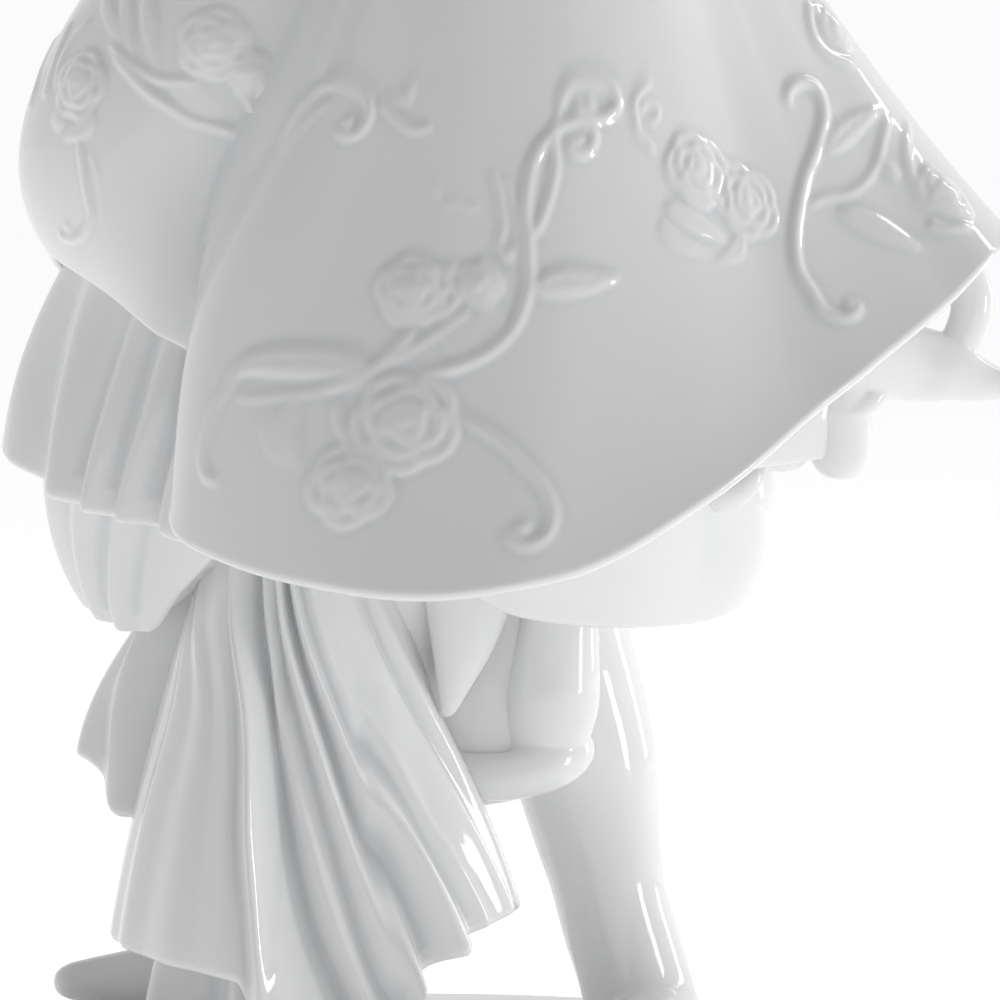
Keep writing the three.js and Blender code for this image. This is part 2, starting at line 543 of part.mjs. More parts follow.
function handSolid({ wrist, tips, thumb, half }) {
  const from = new THREE.Vector3(...wrist);
  const to = new THREE.Vector3(...tips);
  const out = new THREE.Vector3(...thumb);
  const palm = from.clone().lerp(to, 0.42);
  const flatWay = new THREE.Vector3().crossVectors(to.clone().sub(from), out.clone().sub(from)).normalize();
  const fingers = [
    [...from, half * 0.8],
    [...palm, half * 1.15],
    [...from.clone().lerp(to, 0.75), half * 0.95],
    [...to, half * 0.6],
  ];
  const thumbPath = [
    [...from.clone().lerp(palm, 0.5), half * 0.5],
    [...palm.clone().lerp(out, 0.6), half * 0.42],
    [...out, half * 0.36],
  ];
  return limb(fingers, 6, 6, 0.55, flatWay).add(limb(thumbPath, 5, 3, 1, flatWay));
}

// How far the face rises or sinks at a place on the head's front.
function faceRise(across, up) {
  return FACE.reduce((sum, [x, z, width, height, rise]) => {
    const places = x === 0 ? [0] : [x, -x];
    const swell = (place) => Math.exp(-(((across - place) / width) ** 2) - ((up - z) / height) ** 2);
    return sum + places.reduce((part, place) => part + rise * swell(place), 0);
  }, 0);
}

function headSolid({ x, y, z, half, yaw, pitch, strands }, bun) {
  const [width, depth, height] = half;
  const turn = new THREE.Matrix4().makeRotationZ(yaw * DEGREE);
  turn.multiply(new THREE.Matrix4().makeRotationX(pitch * DEGREE));
  turn.setPosition(x, y, z);
  const ball = (columns, rows, place) => skin(columns, rows, (share, row) => {
    const angle = -TURN * DEGREE * share;
    const around = angle - 0.5 * Math.sin(angle);
    const fall = (Math.PI * row) / rows;
    const level = Math.sin(fall);
    const across = Math.sin(around) * level;
    const front = Math.cos(around) * level;
    return place(across, front, Math.cos(fall), around).applyMatrix4(turn);
  });
  const face = ball(16, 11, (across, front, up) => {
    const jaw = up < 0 ? 1 - 0.3 * up * up : 1;
    const rise = front > 0 ? faceRise(across / jaw, up) * Math.min(front * 2, 1) : 0;
    const throat = up < 0 ? 1 - 0.1 * up * up : 1;
    return new THREE.Vector3(across * width * jaw, -front * depth * throat - rise, up * height);
  });
  const hair = ball(12, 6, (across, front, up, around) => {
    const wave = 1 + 0.035 * Math.cos(strands * around);
    const behind = 0.28 * depth - front * depth * 0.92 * wave;
    return new THREE.Vector3(across * width * 1.1 * wave, behind, (0.22 + 0.86 * up) * height);
  });
  const whole = face.add(hair);
  if (!bun) return whole;
  const chignon = ball(8, 5, (across, front, up) => {
    const [bunWidth, bunDepth, bunHeight] = bun.half;
    return new THREE.Vector3(across * bunWidth, bun.back - front * bunDepth, bun.up + up * bunHeight);
  });
  return whole.add(chignon);
}

// The low oval base, with a rounded edge above and below.
function baseSolid() {
  const { x, y, width, depth, height, round } = BASE;
  const rings = [[round, height], [0, height - round], [0, round], [round, 0]];
  return skin(24, rings.length + 1, (share, row) => {
    const angle = -TURN * DEGREE * share;
    const middle = row === 0 || row === rings.length + 1;
    const [inset, rise] = rings[Math.min(Math.max(row - 1, 0), rings.length - 1)];
    const halfWidth = middle ? 0 : width / 2 - inset;
    const halfDepth = middle ? 0 : depth / 2 - inset;
    return new THREE.Vector3(x + halfWidth * Math.cos(angle), y + halfDepth * Math.sin(angle), rise - height);
  });
}

function coupleSolid() {
  const solids = [
    baseSolid(),
    ...Object.values(GOWN).map(layerSolid),
    ...Object.values(GATHERS).map((stations) => limb(stations, 6, stations.length)),
    loft(LADY_BODY, 14, 11),
    loft(GENTLEMAN_BODY, 14, 12),
    loft(STANDING_LEG, 12, 11),
    loft(STRIDING_LEG, 10, 7),
    ...COAT_TAILS.map((tail) => loft(tail, 8, 5)),
    ...Object.values(ARMS).map((arm) => limb(arm, 8, 7)),
    limb(SHOES.standing, 8, 6, SHOE_SQUASH.standing, UP),
    limb(SHOES.striding, 8, 6, SHOE_SQUASH.striding, UP),
    ...Object.values(HANDS).map(handSolid),
    ...ROSES.map(roseSolid),
    ...LEAVES.map(leafSolid),
    ...Object.values(VINES).map(vineSolid),
    headSolid(HEADS.lady, CHIGNON),
    headSolid(HEADS.gentleman),
  ];
  return filled(wasm.Manifold.union(solids));
}

// The same solid with every pocket that is closed on all sides filled, as slip fills it in the mould.
function filled(solid) {
  const shells = solid.simplify(SEAM).decompose();
  return wasm.Manifold.union(shells.filter((shell) => shell.volume() > 0));
}

function geometryOf(solid) {
  const mesh = solid.getMesh();
  const geometry = new THREE.BufferGeometry();
  geometry.setAttribute("position", new THREE.BufferAttribute(mesh.vertProperties, mesh.numProp));
  geometry.setIndex(new THREE.BufferAttribute(mesh.triVerts, 1));
  geometry.computeVertexNormals();
  return geometry;
}

const couple = new THREE.Mesh(geometryOf(coupleSolid()), new THREE.MeshStandardMaterial(PORCELAIN));
couple.name = "porcelain_couple";
couple.position.set(-MIDDLE.x, -MIDDLE.y, BASE.height);

const figurine = new THREE.Group();
figurine.add(couple);
export default figurine;
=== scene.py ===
"""White glazed porcelain figurine of a dancing couple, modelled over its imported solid.

The piece is one casting on a low oval base. Sizes are millimetres: places are measured from the
lady's own axis, heights from the base's top face, and the front is towards -Y. `placed` brings them
into the part's frame, in metres.
"""

from __future__ import annotations

import logging
import math
from dataclasses import dataclass
from enum import Enum
from typing import Sequence

import bpy
import numpy as np
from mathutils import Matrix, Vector

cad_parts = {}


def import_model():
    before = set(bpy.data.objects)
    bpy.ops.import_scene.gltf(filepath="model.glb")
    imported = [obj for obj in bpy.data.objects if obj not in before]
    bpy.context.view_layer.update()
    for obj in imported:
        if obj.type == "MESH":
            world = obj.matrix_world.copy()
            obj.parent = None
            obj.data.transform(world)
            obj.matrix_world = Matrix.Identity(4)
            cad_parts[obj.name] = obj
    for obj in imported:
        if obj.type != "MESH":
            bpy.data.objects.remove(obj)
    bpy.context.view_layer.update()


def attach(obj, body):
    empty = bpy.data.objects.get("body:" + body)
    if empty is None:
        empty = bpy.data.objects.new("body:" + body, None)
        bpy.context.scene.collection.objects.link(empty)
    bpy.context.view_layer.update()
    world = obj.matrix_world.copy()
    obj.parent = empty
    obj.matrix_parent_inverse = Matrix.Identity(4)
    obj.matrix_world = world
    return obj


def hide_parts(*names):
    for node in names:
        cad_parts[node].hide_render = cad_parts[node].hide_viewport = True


LOG = logging.getLogger("porcelain_couple")
Array = np.ndarray
Place = tuple[float, float, float]
Spot = tuple[float, float]

MM = 0.001
TURN = 360.0
LADY_AXIS_IN_PART = np.array([-9.2, 16.2, 6.0])
BODY = "root"
CASTING = "porcelain_couple"
UP = np.array([0.0, 0.0, 1.0])


def placed(points: Array) -> Array:
    """Places of the figure, in millimetres, brought into the part's frame, in metres."""
    return (np.asarray(points, float) + LADY_AXIS_IN_PART) * MM


def unit(vectors: Array) -> Array:
    """Vectors along the last axis, each divided by its own length."""
    return vectors / np.maximum(np.linalg.norm(vectors, axis=-1, keepdims=True), 1e-9)


def eased(values: Array) -> Array:
    """Values held between 0 and 1 and eased at both ends: three squared less two cubed."""
    held = np.clip(values, 0.0, 1.0)
    return held * held * (3.0 - 2.0 * held)


def carried_through(stations: Sequence[Sequence[float]], shares: Array) -> Array:
    """A smooth curve carried through stations at even steps, for any number of columns.

    It is a cubic between neighbours, whose slope at a station is half the way from the one before it
    to the one after it.

    Args:
        stations: the rows that the curve passes through.
        shares: where to read the curve, from 0 at the first station to 1 at the last.

    Returns:
        The samples, one row each.
    """
    rows = np.asarray(stations, float)
    last = len(rows) - 1
    place = np.clip(shares, 0.0, 1.0) * last
    index = np.minimum(np.floor(place).astype(int), last - 1)
    s = (place - index)[:, None]
    before, here, ahead, after = (rows[np.clip(index + k, 0, last)] for k in (-1, 0, 1, 2))
    bend = 2 * before - 5 * here + 4 * ahead - after
    twist = 3 * (here - ahead) + after - before
    return here + 0.5 * s * (ahead - before + s * (bend + s * twist))


def smooth_path(stations: Sequence[Sequence[float]], count: int) -> Array:
    """A smooth curve through stations, read at even steps from the first to the last."""
    return carried_through(stations, np.linspace(0.0, 1.0, count))


def around_the_axis(ribs: Array, values: Array, bearing: Array) -> Array:
    """A smooth curve through the ribs' values all the way round, which never swings past a rib.

    It is a cubic between neighbours, whose slope at a rib is the harmonic mean of the two slopes
    beside it, and nothing where they differ in sign.

    Args:
        ribs: the ribs' bearings in degrees, rising.
        values: the value at each rib.
        bearing: where to read the curve, in degrees.

    Returns:
        The value at each bearing.
    """
    x = np.append(ribs, ribs[0] + TURN)
    y = np.append(values, values[0])
    width = np.diff(x)
    secant = np.diff(y) / width
    before = np.roll(secant, 1)
    same = before * secant > 0
    mean = 2 * before * secant / np.where(same, before + secant, 1.0)
    slope = np.where(same, mean, 0.0)
    slope = np.append(slope, slope[0])
    turned = (np.asarray(bearing, float) - x[0]) % TURN + x[0]
    i = np.clip(np.searchsorted(x, turned, side="right") - 1, 0, len(width) - 1)
    s = (turned - x[i]) / width[i]
    start = (1 + 2 * s) * (1 - s) ** 2
    leave = s * (1 - s) ** 2 * width[i]
    arrive = s * s * (s - 1) * width[i]
    return start * y[i] + (1 - start) * y[i + 1] + leave * slope[i] + arrive * slope[i + 1]


# Meshes.


@dataclass
class Shell:
    """A closed surface: its places in millimetres and its faces as rows of place numbers."""

    points: Array
    faces: list[Array]

    def outward(self) -> "Shell":
        """The same surface with its faces turned so that the volume it holds is positive.

        Returns:
            This shell, or one with every face turned over.
        """
        held = 0.0
        for block in self.faces:
            first = self.points[block[:, 0]]
            for k in range(1, block.shape[1] - 1):
                second, third = self.points[block[:, k]], self.points[block[:, k + 1]]
                held += float(np.einsum("ij,ij->", first, np.cross(second, third)))
        if held >= 0:
            return self
        return Shell(self.points, [block[:, ::-1] for block in self.faces])


def ring_shell(rings: Array, first: Array | None = None, last: Array | None = None) -> Shell:
    """Closes a stack of rings into a shell, with a pole at each end.

    Args:
        rings: places, rings by places round a ring by 3, where a ring's end meets its start.
        first: the pole before the first ring, or None for the ring's middle.
        last: the pole after the last ring, or None for the ring's middle.

    Returns:
        The closed shell, facing outwards.
    """
    count, sides = rings.shape[:2]
    first = rings[0].mean(0) if first is None else first
    last = rings[-1].mean(0) if last is None else last
    poles = np.stack([first, last])
    points = np.concatenate([rings.reshape(-1, 3), poles])
    number = np.arange(count * sides).reshape(count, sides)
    ahead = np.roll(number, -1, axis=1)
    quads = np.stack([number[:-1], ahead[:-1], ahead[1:], number[1:]], -1).reshape(-1, 4)
    top = np.stack([np.full(sides, count * sides), ahead[0], number[0]], -1)
    end = np.stack([np.full(sides, count * sides + 1), number[-1], ahead[-1]], -1)
    return Shell(points, [quads, np.concatenate([top, end])]).outward()


def side_wall(number: Array, height: Array, turn: int, top: int, pole: int) -> Array:
    """The triangles of a wedge's flat side, each running level from the cloth in to the vault under it.

    The side's edge goes down the cloth to its turn at the hem and climbs the vault to the pole. An edge
    of the cloth is joined to the vault's place at its height, and an edge of the vault to the place on
    the cloth where the next of the vault's places takes over.

    Args:
        number: the numbers of the places down one side, from below the top to beside the pole.
        height: their heights.
        turn: how many of them are on the cloth and its lip.
        top: the number of the pole at the top.
        pole: the number of the pole under the vault.

    Returns:
        Rows of three place numbers.
    """
    outer, inner = number[:turn], np.concatenate([[pole], number[:turn - 1:-1]])
    rise = np.concatenate([[height[-1] + 1.0], height[:turn - 1:-1]])
    middle = (height[: turn - 1] + height[1:turn]) / 2
    taken = np.maximum.accumulate((middle[:, None] < (rise[:-1] + rise[1:])[None, :] / 2).sum(1))
    change = np.searchsorted(taken, np.arange(len(inner) - 1), side="right")
    across = np.stack([outer[:-1], outer[1:], inner[taken]], -1)
    along = np.stack([inner[:-1], outer[change], inner[1:]], -1)
    return np.concatenate([[[top, outer[0], pole]], across, along])


def panel_shell(rows: Array, turn: int, first: Array, last: Array) -> Shell:
    """Closes an open fan of meridians into a wedge, with a wall at each of its two sides.

    Args:
        rows: places, rows by columns by 3, from the first pole to the last.
        turn: how many rows are on the cloth and its lip, before the vault under them.
        first: the pole before the first row.
        last: the pole after the last row.

    Returns:
        The closed shell, facing outwards.
    """
    count, columns = rows.shape[:2]
    points = np.concatenate([rows.reshape(-1, 3), np.stack([first, last])])
    number = np.arange(count * columns).reshape(count, columns)
    start, stop = count * columns, count * columns + 1
    quads = np.stack([number[:-1, :-1], number[:-1, 1:], number[1:, 1:], number[1:, :-1]], -1)
    top = np.stack([np.full(columns - 1, start), number[0, 1:], number[0, :-1]], -1)
    end = np.stack([np.full(columns - 1, stop), number[-1, :-1], number[-1, 1:]], -1)
    near = side_wall(number[:, 0], rows[:, 0, 2], turn, start, stop)
    far = side_wall(number[:, -1], rows[:, -1, 2], turn, start, stop)[:, ::-1]
    return Shell(points, [quads.reshape(-1, 4), np.concatenate([top, end, near, far])]).outward()


def mesh_object(name: str, shells: Sequence[Shell]) -> bpy.types.Object:
    """Puts shells into one smooth-shaded mesh object at the origin.

    Args:
        name: the object's name.
        shells: the closed surfaces that it holds.

    Returns:
        The object, linked to the scene.
    """
    offset = 0
    corners: list[Array] = []
    totals: list[Array] = []
    for shell in shells:
        for block in shell.faces:
            corners.append(block.ravel() + offset)
            totals.append(np.full(len(block), block.shape[1]))
        offset += len(shell.points)
    points = placed(np.concatenate([shell.points for shell in shells]))
    corner = np.concatenate(corners).astype(np.int32)
    total = np.concatenate(totals)
    mesh = bpy.data.meshes.new(name)
    mesh.vertices.add(len(points))
    mesh.vertices.foreach_set("co", points.astype(np.float32).ravel())
    mesh.loops.add(len(corner))
    mesh.polygons.add(len(total))
    mesh.polygons.foreach_set("loop_start", (np.cumsum(total) - total).astype(np.int32))
    mesh.polygons.foreach_set("vertices", corner)
    mesh.update(calc_edges=True)
    mesh.shade_smooth()
    piece = bpy.data.objects.new(name, mesh)
    bpy.context.scene.collection.objects.link(piece)
    return piece


@dataclass(frozen=True)
class Skin:
    """How fine a joined skin is: the side of a cell in millimetres, smoothing passes, share of faces kept."""

    cell: float
    passes: int
    kept: float


def fused(name: str, shells: Sequence[Shell], skin: Skin) -> bpy.types.Object:
    """Runs overlapping shells together into one skin, as slip does in the mould, and softens the joins.

    Args:
        name: the new object's name.
        shells: the closed surfaces to join.
        skin: how fine the new skin is; its faces are kept where it bends and thinned where it is flat.

    Returns:
        The joined object.
    """
    rough = mesh_object(name + "_rough", shells)
    join = rough.modifiers.new("Join", "REMESH")
    join.mode = "VOXEL"
    join.voxel_size = skin.cell * MM
    join.use_smooth_shade = True
    soften = rough.modifiers.new("Soften", "SMOOTH")
    soften.factor = 0.5
    soften.iterations = skin.passes
    thin = rough.modifiers.new("Thin", "DECIMATE")
    thin.ratio = skin.kept
    graph = bpy.context.evaluated_depsgraph_get()
    mesh = bpy.data.meshes.new_from_object(rough.evaluated_get(graph))
    mesh.name = name
    mesh.shade_smooth()
    piece = bpy.data.objects.new(name, mesh)
    bpy.context.scene.collection.objects.link(piece)
    bpy.data.objects.remove(rough)
    return piece


def grid_normals(points: Array, wrapped: bool) -> Array:
    """Unit normals of a grid of places, from the cross product of its slopes along and down.

    Args:
        points: rows by columns by 3.
        wrapped: whether the last column meets the first.

    Returns:
        The normals, which point away from the mean of the grid.
    """
    if wrapped:
        along = np.roll(points, -1, axis=1) - np.roll(points, 1, axis=1)
    else:
        along = np.gradient(points, axis=1)
    out = unit(np.cross(along, np.gradient(points, axis=0)))
    away = points - points.mean((0, 1))
    return out if float((out * away).sum()) > 0 else -out


def hollowness(points: Array, out: Array) -> Array:
    """How hollow a grid of places is at each place: the way from it to the mean of its neighbours, outwards.

    Args:
        points: rows by columns by 3.
        out: the outward ways at the places.

    Returns:
        Values near 0 on flat and raised ground and up to 1 in the bottom of a crease.
    """
    apart, deepest = 3, 0.22
    rolled = [np.roll(points, step, axis) for axis in (0, 1) for step in (apart, -apart)]
    dip = ((sum(rolled) / 4 - points) * out).sum(-1)
    dip[: apart + 1] = dip[-apart - 1 :] = 0.0
    return np.clip(dip / deepest, 0.0, 1.0)


def with_pools_and_shade(piece: bpy.types.Object, values: Array) -> bpy.types.Object:
    """Writes how deep in a crease each vertex is, for thicker glaze and painted shade there.

    Args:
        piece: the piece, whose first vertices are the cloth's places.
        values: how deep in a crease those places are, from 0 to 1; the rest of the vertices get none.

    Returns:
        The piece.
    """
    pool_and_shade = np.zeros(len(piece.data.vertices), np.float32)
    pool_and_shade[: values.size] = values.ravel()
    layer = piece.data.attributes.new("glaze_pool_and_shade", "FLOAT", "POINT")
    layer.data.foreach_set("value", pool_and_shade)
    return piece


# Ornament laid on cloth.


class Ground:
    """The front of a cloth, on which ornament is laid by its place in front elevation.

    A spot goes to the nearest place that faces the front, and to the foremost of equally near ones.
    """

    FACING = 0.1
    TURNED_AWAY = 1e4
    FURTHER_BACK = 0.004
    FOREMOST = -120.0

    def __init__(self, points: Array, out: Array) -> None:
        """Keeps the cloth's places and their outward ways as flat lists, with the toll on each place.

        Args:
            points: the cloth's places, rows by columns by 3.
            out: the outward ways at them.
        """
        self.points = points.reshape(-1, 3)
        self.out = out.reshape(-1, 3)
        turned = np.where(self.out[:, 1] < self.FACING, 0.0, self.TURNED_AWAY)
        self.toll = turned + self.FURTHER_BACK * (self.points[:, 1] - self.FOREMOST)

    def find(self, spot: Spot) -> int:
        """The number of the place on the cloth's front that is nearest to a spot in front elevation."""
        gap = (self.points[:, 0] - spot[0]) ** 2 + (self.points[:, 2] - spot[1]) ** 2
        return int(np.argmin(gap + self.toll))

    def path(self, spots: Sequence[Spot], count: int) -> Array:
        """A smooth path over the cloth through spots given in front elevation."""
        return smooth_path([self.points[self.find(spot)] for spot in spots], count)

    def frame(self, spot: Spot) -> tuple[Array, Array, Array]:
        """A place on the cloth with the ways across it and up it.

        Args:
            spot: where it is in front elevation.

        Returns:
            The place, the way across and the way up.
        """
        k = self.find(spot)
        across = unit(np.cross(UP, self.out[k]))
        return self.points[k], across, np.cross(self.out[k], across)

    def near(self, path: Array, reach: float) -> Array:
        """The numbers of the places within reach of the box round a path."""
        low, high = path.min(0) - reach, path.max(0) + reach
        return np.flatnonzero(((self.points > low) & (self.points < high)).all(1))

    def beside(self, path: Array, reach: float) -> tuple[Array, Array, Array]:
        """Distances of the places near a path.

        Args:
            path: places along the path.
            reach: how far from the path's box a place still counts as near, in millimetres.

        Returns:
            The numbers of the places, their distances from the path and the share of the path that is
            passed where each is nearest.
        """
        number = self.near(path, reach)
        here = self.points[number]
        gap = np.full(len(number), np.inf)
        share = np.zeros(len(number))
        for k, (start, stop) in enumerate(zip(path[:-1], path[1:])):
            way = stop - start
            s = np.clip((here - start) @ way / max(float(way @ way), 1e-9), 0.0, 1.0)
            apart = np.linalg.norm(here - start - s[:, None] * way, axis=1)
            closer = apart < gap
            gap = np.where(closer, apart, gap)
            share = np.where(closer, (k + s) / (len(path) - 1), share)
        return number, gap, share


@dataclass(frozen=True)
class Cord:
    """A raised cord along spots in front elevation.

    Its height across is rise x (1 - t squared) to the power 1.5, where t is the distance from its
    line in half widths, and it thins out towards its two ends.
    """

    spots: tuple[Spot, ...]
    half: float = 1.25
    rise: float = 0.85

    TAPER = 0.12
    THINNEST = 0.25

    def lay(self, ground: Ground) -> tuple[Array, Array]:
        """The cord's height over a cloth.

        Args:
            ground: the cloth that it is laid on.

        Returns:
            The numbers of the places that it covers and its height there.
        """
        path = ground.path(self.spots, 14 * len(self.spots))
        number, gap, share = ground.beside(path, self.half)
        thin = eased(share / self.TAPER) ** 0.5 * eased((1 - share) / self.TAPER) ** 0.5
        thin = self.THINNEST + (1 - self.THINNEST) * thin
        return number, self.rise * thin * np.clip(1 - (gap / (self.half * thin)) ** 2, 0, 1) ** 1.5


@dataclass(frozen=True)
class Leaf:
    """A leaf from its stalk to its tip, with a sunk midrib and slanting veins.

    Its half width is sin(pi x share to the power 0.8), its height falls to the edge as
    (1 - t squared) to the power 0.6, and the veins are a cosine of the share less the way out.
    """

    spots: tuple[Spot, ...]
    half: float
    rise: float = 0.8

    def lay(self, ground: Ground) -> tuple[Array, Array]:
        """The leaf's height over a cloth.

        Args:
            ground: the cloth that it is laid on.

        Returns:
            The numbers of the places that it covers and its height there.
        """
        path = ground.path(self.spots, 40)
        number, gap, share = ground.beside(path, self.half)
        width = self.half * np.sin(np.pi * np.clip(share, 0.02, 0.98) ** 0.8)
        t = gap / width
        body = self.rise * np.clip(1 - t**2, 0, 1) ** 0.6
        rib = 0.45 * self.rise * np.exp(-((gap / 0.35) ** 2)) * (t < 1)
        veins = 0.1 * self.rise * np.cos(2 * np.pi * (7 * share - 1.4 * t)) * np.clip(1 - t**2, 0, 1)
        return number, np.maximum(body - rib + veins, 0.0)


@dataclass(frozen=True)
class Rose:
    """An open rose of cupped petals, laid ring over ring from the outside inwards.

    A petal is an oval hollow whose height is its ring's step plus a rim that rises with the cube of
    the way out from its middle, and it hides what lies under it. A ring is (distance of its petals'
    middles, their half length, half width, how many, first angle, step, rim), in radii of the rose.
    """

    spot: Spot
    radius: float
    turn: float = 0.0
    rise: float = 1.0
    squeeze: float = 1.0

    RINGS = (
        (0.52, 0.48, 0.56, 5, 0.0, 0.25, 0.55),
        (0.32, 0.4, 0.44, 4, 0.5, 0.6, 0.5),
        (0.14, 0.27, 0.3, 3, 0.2, 0.95, 0.4),
        (0.0, 0.13, 0.13, 1, 0.0, 1.25, 0.15),
    )

    def lay(self, ground: Ground) -> tuple[Array, Array]:
        """The rose's height over a cloth, petal over petal.

        Args:
            ground: the cloth that it is laid on.

        Returns:
            The numbers of the places that it covers and its height there.
        """
        middle, across, up = ground.frame(self.spot)
        number = ground.near(middle[None], self.radius * 1.2)
        away = (ground.points[number] - middle) / self.radius
        u, v = away @ across / self.squeeze, away @ up
        height = np.zeros(len(number))
        for distance, length, width, petals, first, step, rim in self.RINGS:
            for petal in range(petals):
                angle = self.turn + first + 2 * np.pi * petal / petals
                c, s = math.cos(angle), math.sin(angle)
                t = np.hypot((u * c + v * s - distance) / length, (v * c - u * s) / width)
                cup = step + rim * np.clip(t, 0, 1) ** 3
                over = eased((1.08 - t) / 0.16)
                height = height * (1 - over) + cup * over
        return number, self.rise * height


@dataclass(frozen=True)
class Bud:
    """A small raised oval: rise x (1 - t squared) to the power 0.8."""

    spot: Spot
    half: Spot
    rise: float = 0.8
    turn: float = 0.0

    def lay(self, ground: Ground) -> tuple[Array, Array]:
        """The bud's height over a cloth.

        Args:
            ground: the cloth that it is laid on.

        Returns:
            The numbers of the places that it covers and its height there.
        """
        middle, across, up = ground.frame(self.spot)
        number = ground.near(middle[None], max(self.half) * 1.1)
        away = ground.points[number] - middle
        u, v = away @ across, away @ up
        c, s = math.cos(self.turn), math.sin(self.turn)
        t = ((u * c + v * s) / self.half[0]) ** 2 + ((v * c - u * s) / self.half[1]) ** 2
        return number, self.rise * np.clip(1 - t, 0, 1) ** 0.8


@dataclass(frozen=True)
class Net:
    """A raised net of crossing lines inside an oval: the larger of two slanting rows of ridges."""

    spot: Spot
    half: Spot
    turn: float = 0.0
    pitch: float = 1.75
    rise: float = 0.34

    def lay(self, ground: Ground) -> tuple[Array, Array]:
        """The net's height over a cloth.

        Args:
            ground: the cloth that it is laid on.

        Returns:
            The numbers of the places that it covers and its height there.
        """
        middle, across, up = ground.frame(self.spot)
        number = ground.near(middle[None], max(self.half) * 1.1)
        away = ground.points[number] - middle
        u, v = away @ across, away @ up
        c, s = math.cos(self.turn), math.sin(self.turn)
        a, b = u * c + v * s, v * c - u * s
        inside = eased((1 - (a / self.half[0]) ** 2 - (b / self.half[1]) ** 2) * 4)
        lines = [np.abs(np.sin(np.pi * (a + k * b) / self.pitch)) for k in (1.0, -1.0)]
        return number, self.rise * inside * (0.35 + 0.65 * (1 - np.minimum(*lines)) ** 2)


Relief = Cord | Leaf | Rose | Bud | Net


def carved(ground: Ground, reliefs: Sequence[Relief], shape: tuple[int, ...], passes: int) -> Array:
    """The height of ornament over a cloth, with its edges softened as glaze fills them.

    The highest piece wins where they overlap, then each pass takes a place to the mean of itself,
    twice, and its two neighbours, across and then down.

    Args:
        ground: the cloth.
        reliefs: the ornament.
        shape: the rows and columns of the cloth.
        passes: how often the edges are softened.

    Returns:
        The height at each place, rows by columns.
    """
    height = np.zeros(len(ground.points))
    for relief in reliefs:
        number, rise = relief.lay(ground)
        height[number] = np.maximum(height[number], rise)
    height = height.reshape(shape)
    for _ in range(passes):
        wide = np.pad(height, 1, mode="edge")
        wide = (wide[:, :-2] + 2 * wide[:, 1:-1] + wide[:, 2:]) / 4
        height = (wide[:-2] + 2 * wide[1:-1] + wide[2:]) / 4
    return height


# The gown.


@dataclass(frozen=True)
class Slant:
    """A crease that slants down a cloth: a turn of the bearings near it, by even drops, in degrees."""

    bearing: float
    width: float
    turns: tuple[float, ...]

    def turned(self, bearing: Array, drop: Array) -> Array:
        """The bearings with the turn at the drop x exp(-(distance in widths) squared) added.

        Args:
            bearing: bearings in degrees, one row.
            drop: drops from 0 at the ring to 1 at the hem, one column.

        Returns:
            Bearings, rows by columns.
        """
        turns = carried_through(np.array(self.turns)[:, None], drop[:, 0])
        away = (bearing - self.bearing + TURN / 2) % TURN - TURN / 2
        return bearing + turns * np.exp(-((away / self.width) ** 2))


@dataclass(frozen=True)
class Fan:
    """Folds that fan out down a cloth, from line to line: ridges stand out and valleys are drawn in.

    A line is (bearings at even drops from the ring to the hem, how far it stands out at the ring,
    how far at the hem), in degrees and millimetres.
    """

    lines: tuple[tuple[tuple[float, ...], float, float], ...]

    def stands_out(self, bearing: Array, drop: Array) -> Array:
        """How far the cloth stands out, eased from each line to the next and nothing beyond them.

        Args:
            bearing: bearings in degrees, one row.
            drop: drops from 0 at the ring to 1 at the hem, one column.

        Returns:
            Millimetres, rows by columns.
        """
        way = carried_through(np.array([line[0] for line in self.lines]).T, drop[:, 0])
        tops, hems = (np.array([line[k] for line in self.lines]) for k in (1, 2))
        height = tops + (hems - tops) * drop
        turned = (bearing - way[:, :1]) % TURN + way[:, :1]
        passed = (turned[..., None] >= way[:, None, :]).sum(-1)
        start = np.clip(passed - 1, 0, len(tops) - 2)
        left, right = (np.take_along_axis(way, start + k, 1) for k in (0, 1))
        low, high = (np.take_along_axis(height, start + k, 1) for k in (0, 1))
        return low + (high - low) * eased((turned - left) / (right - left))


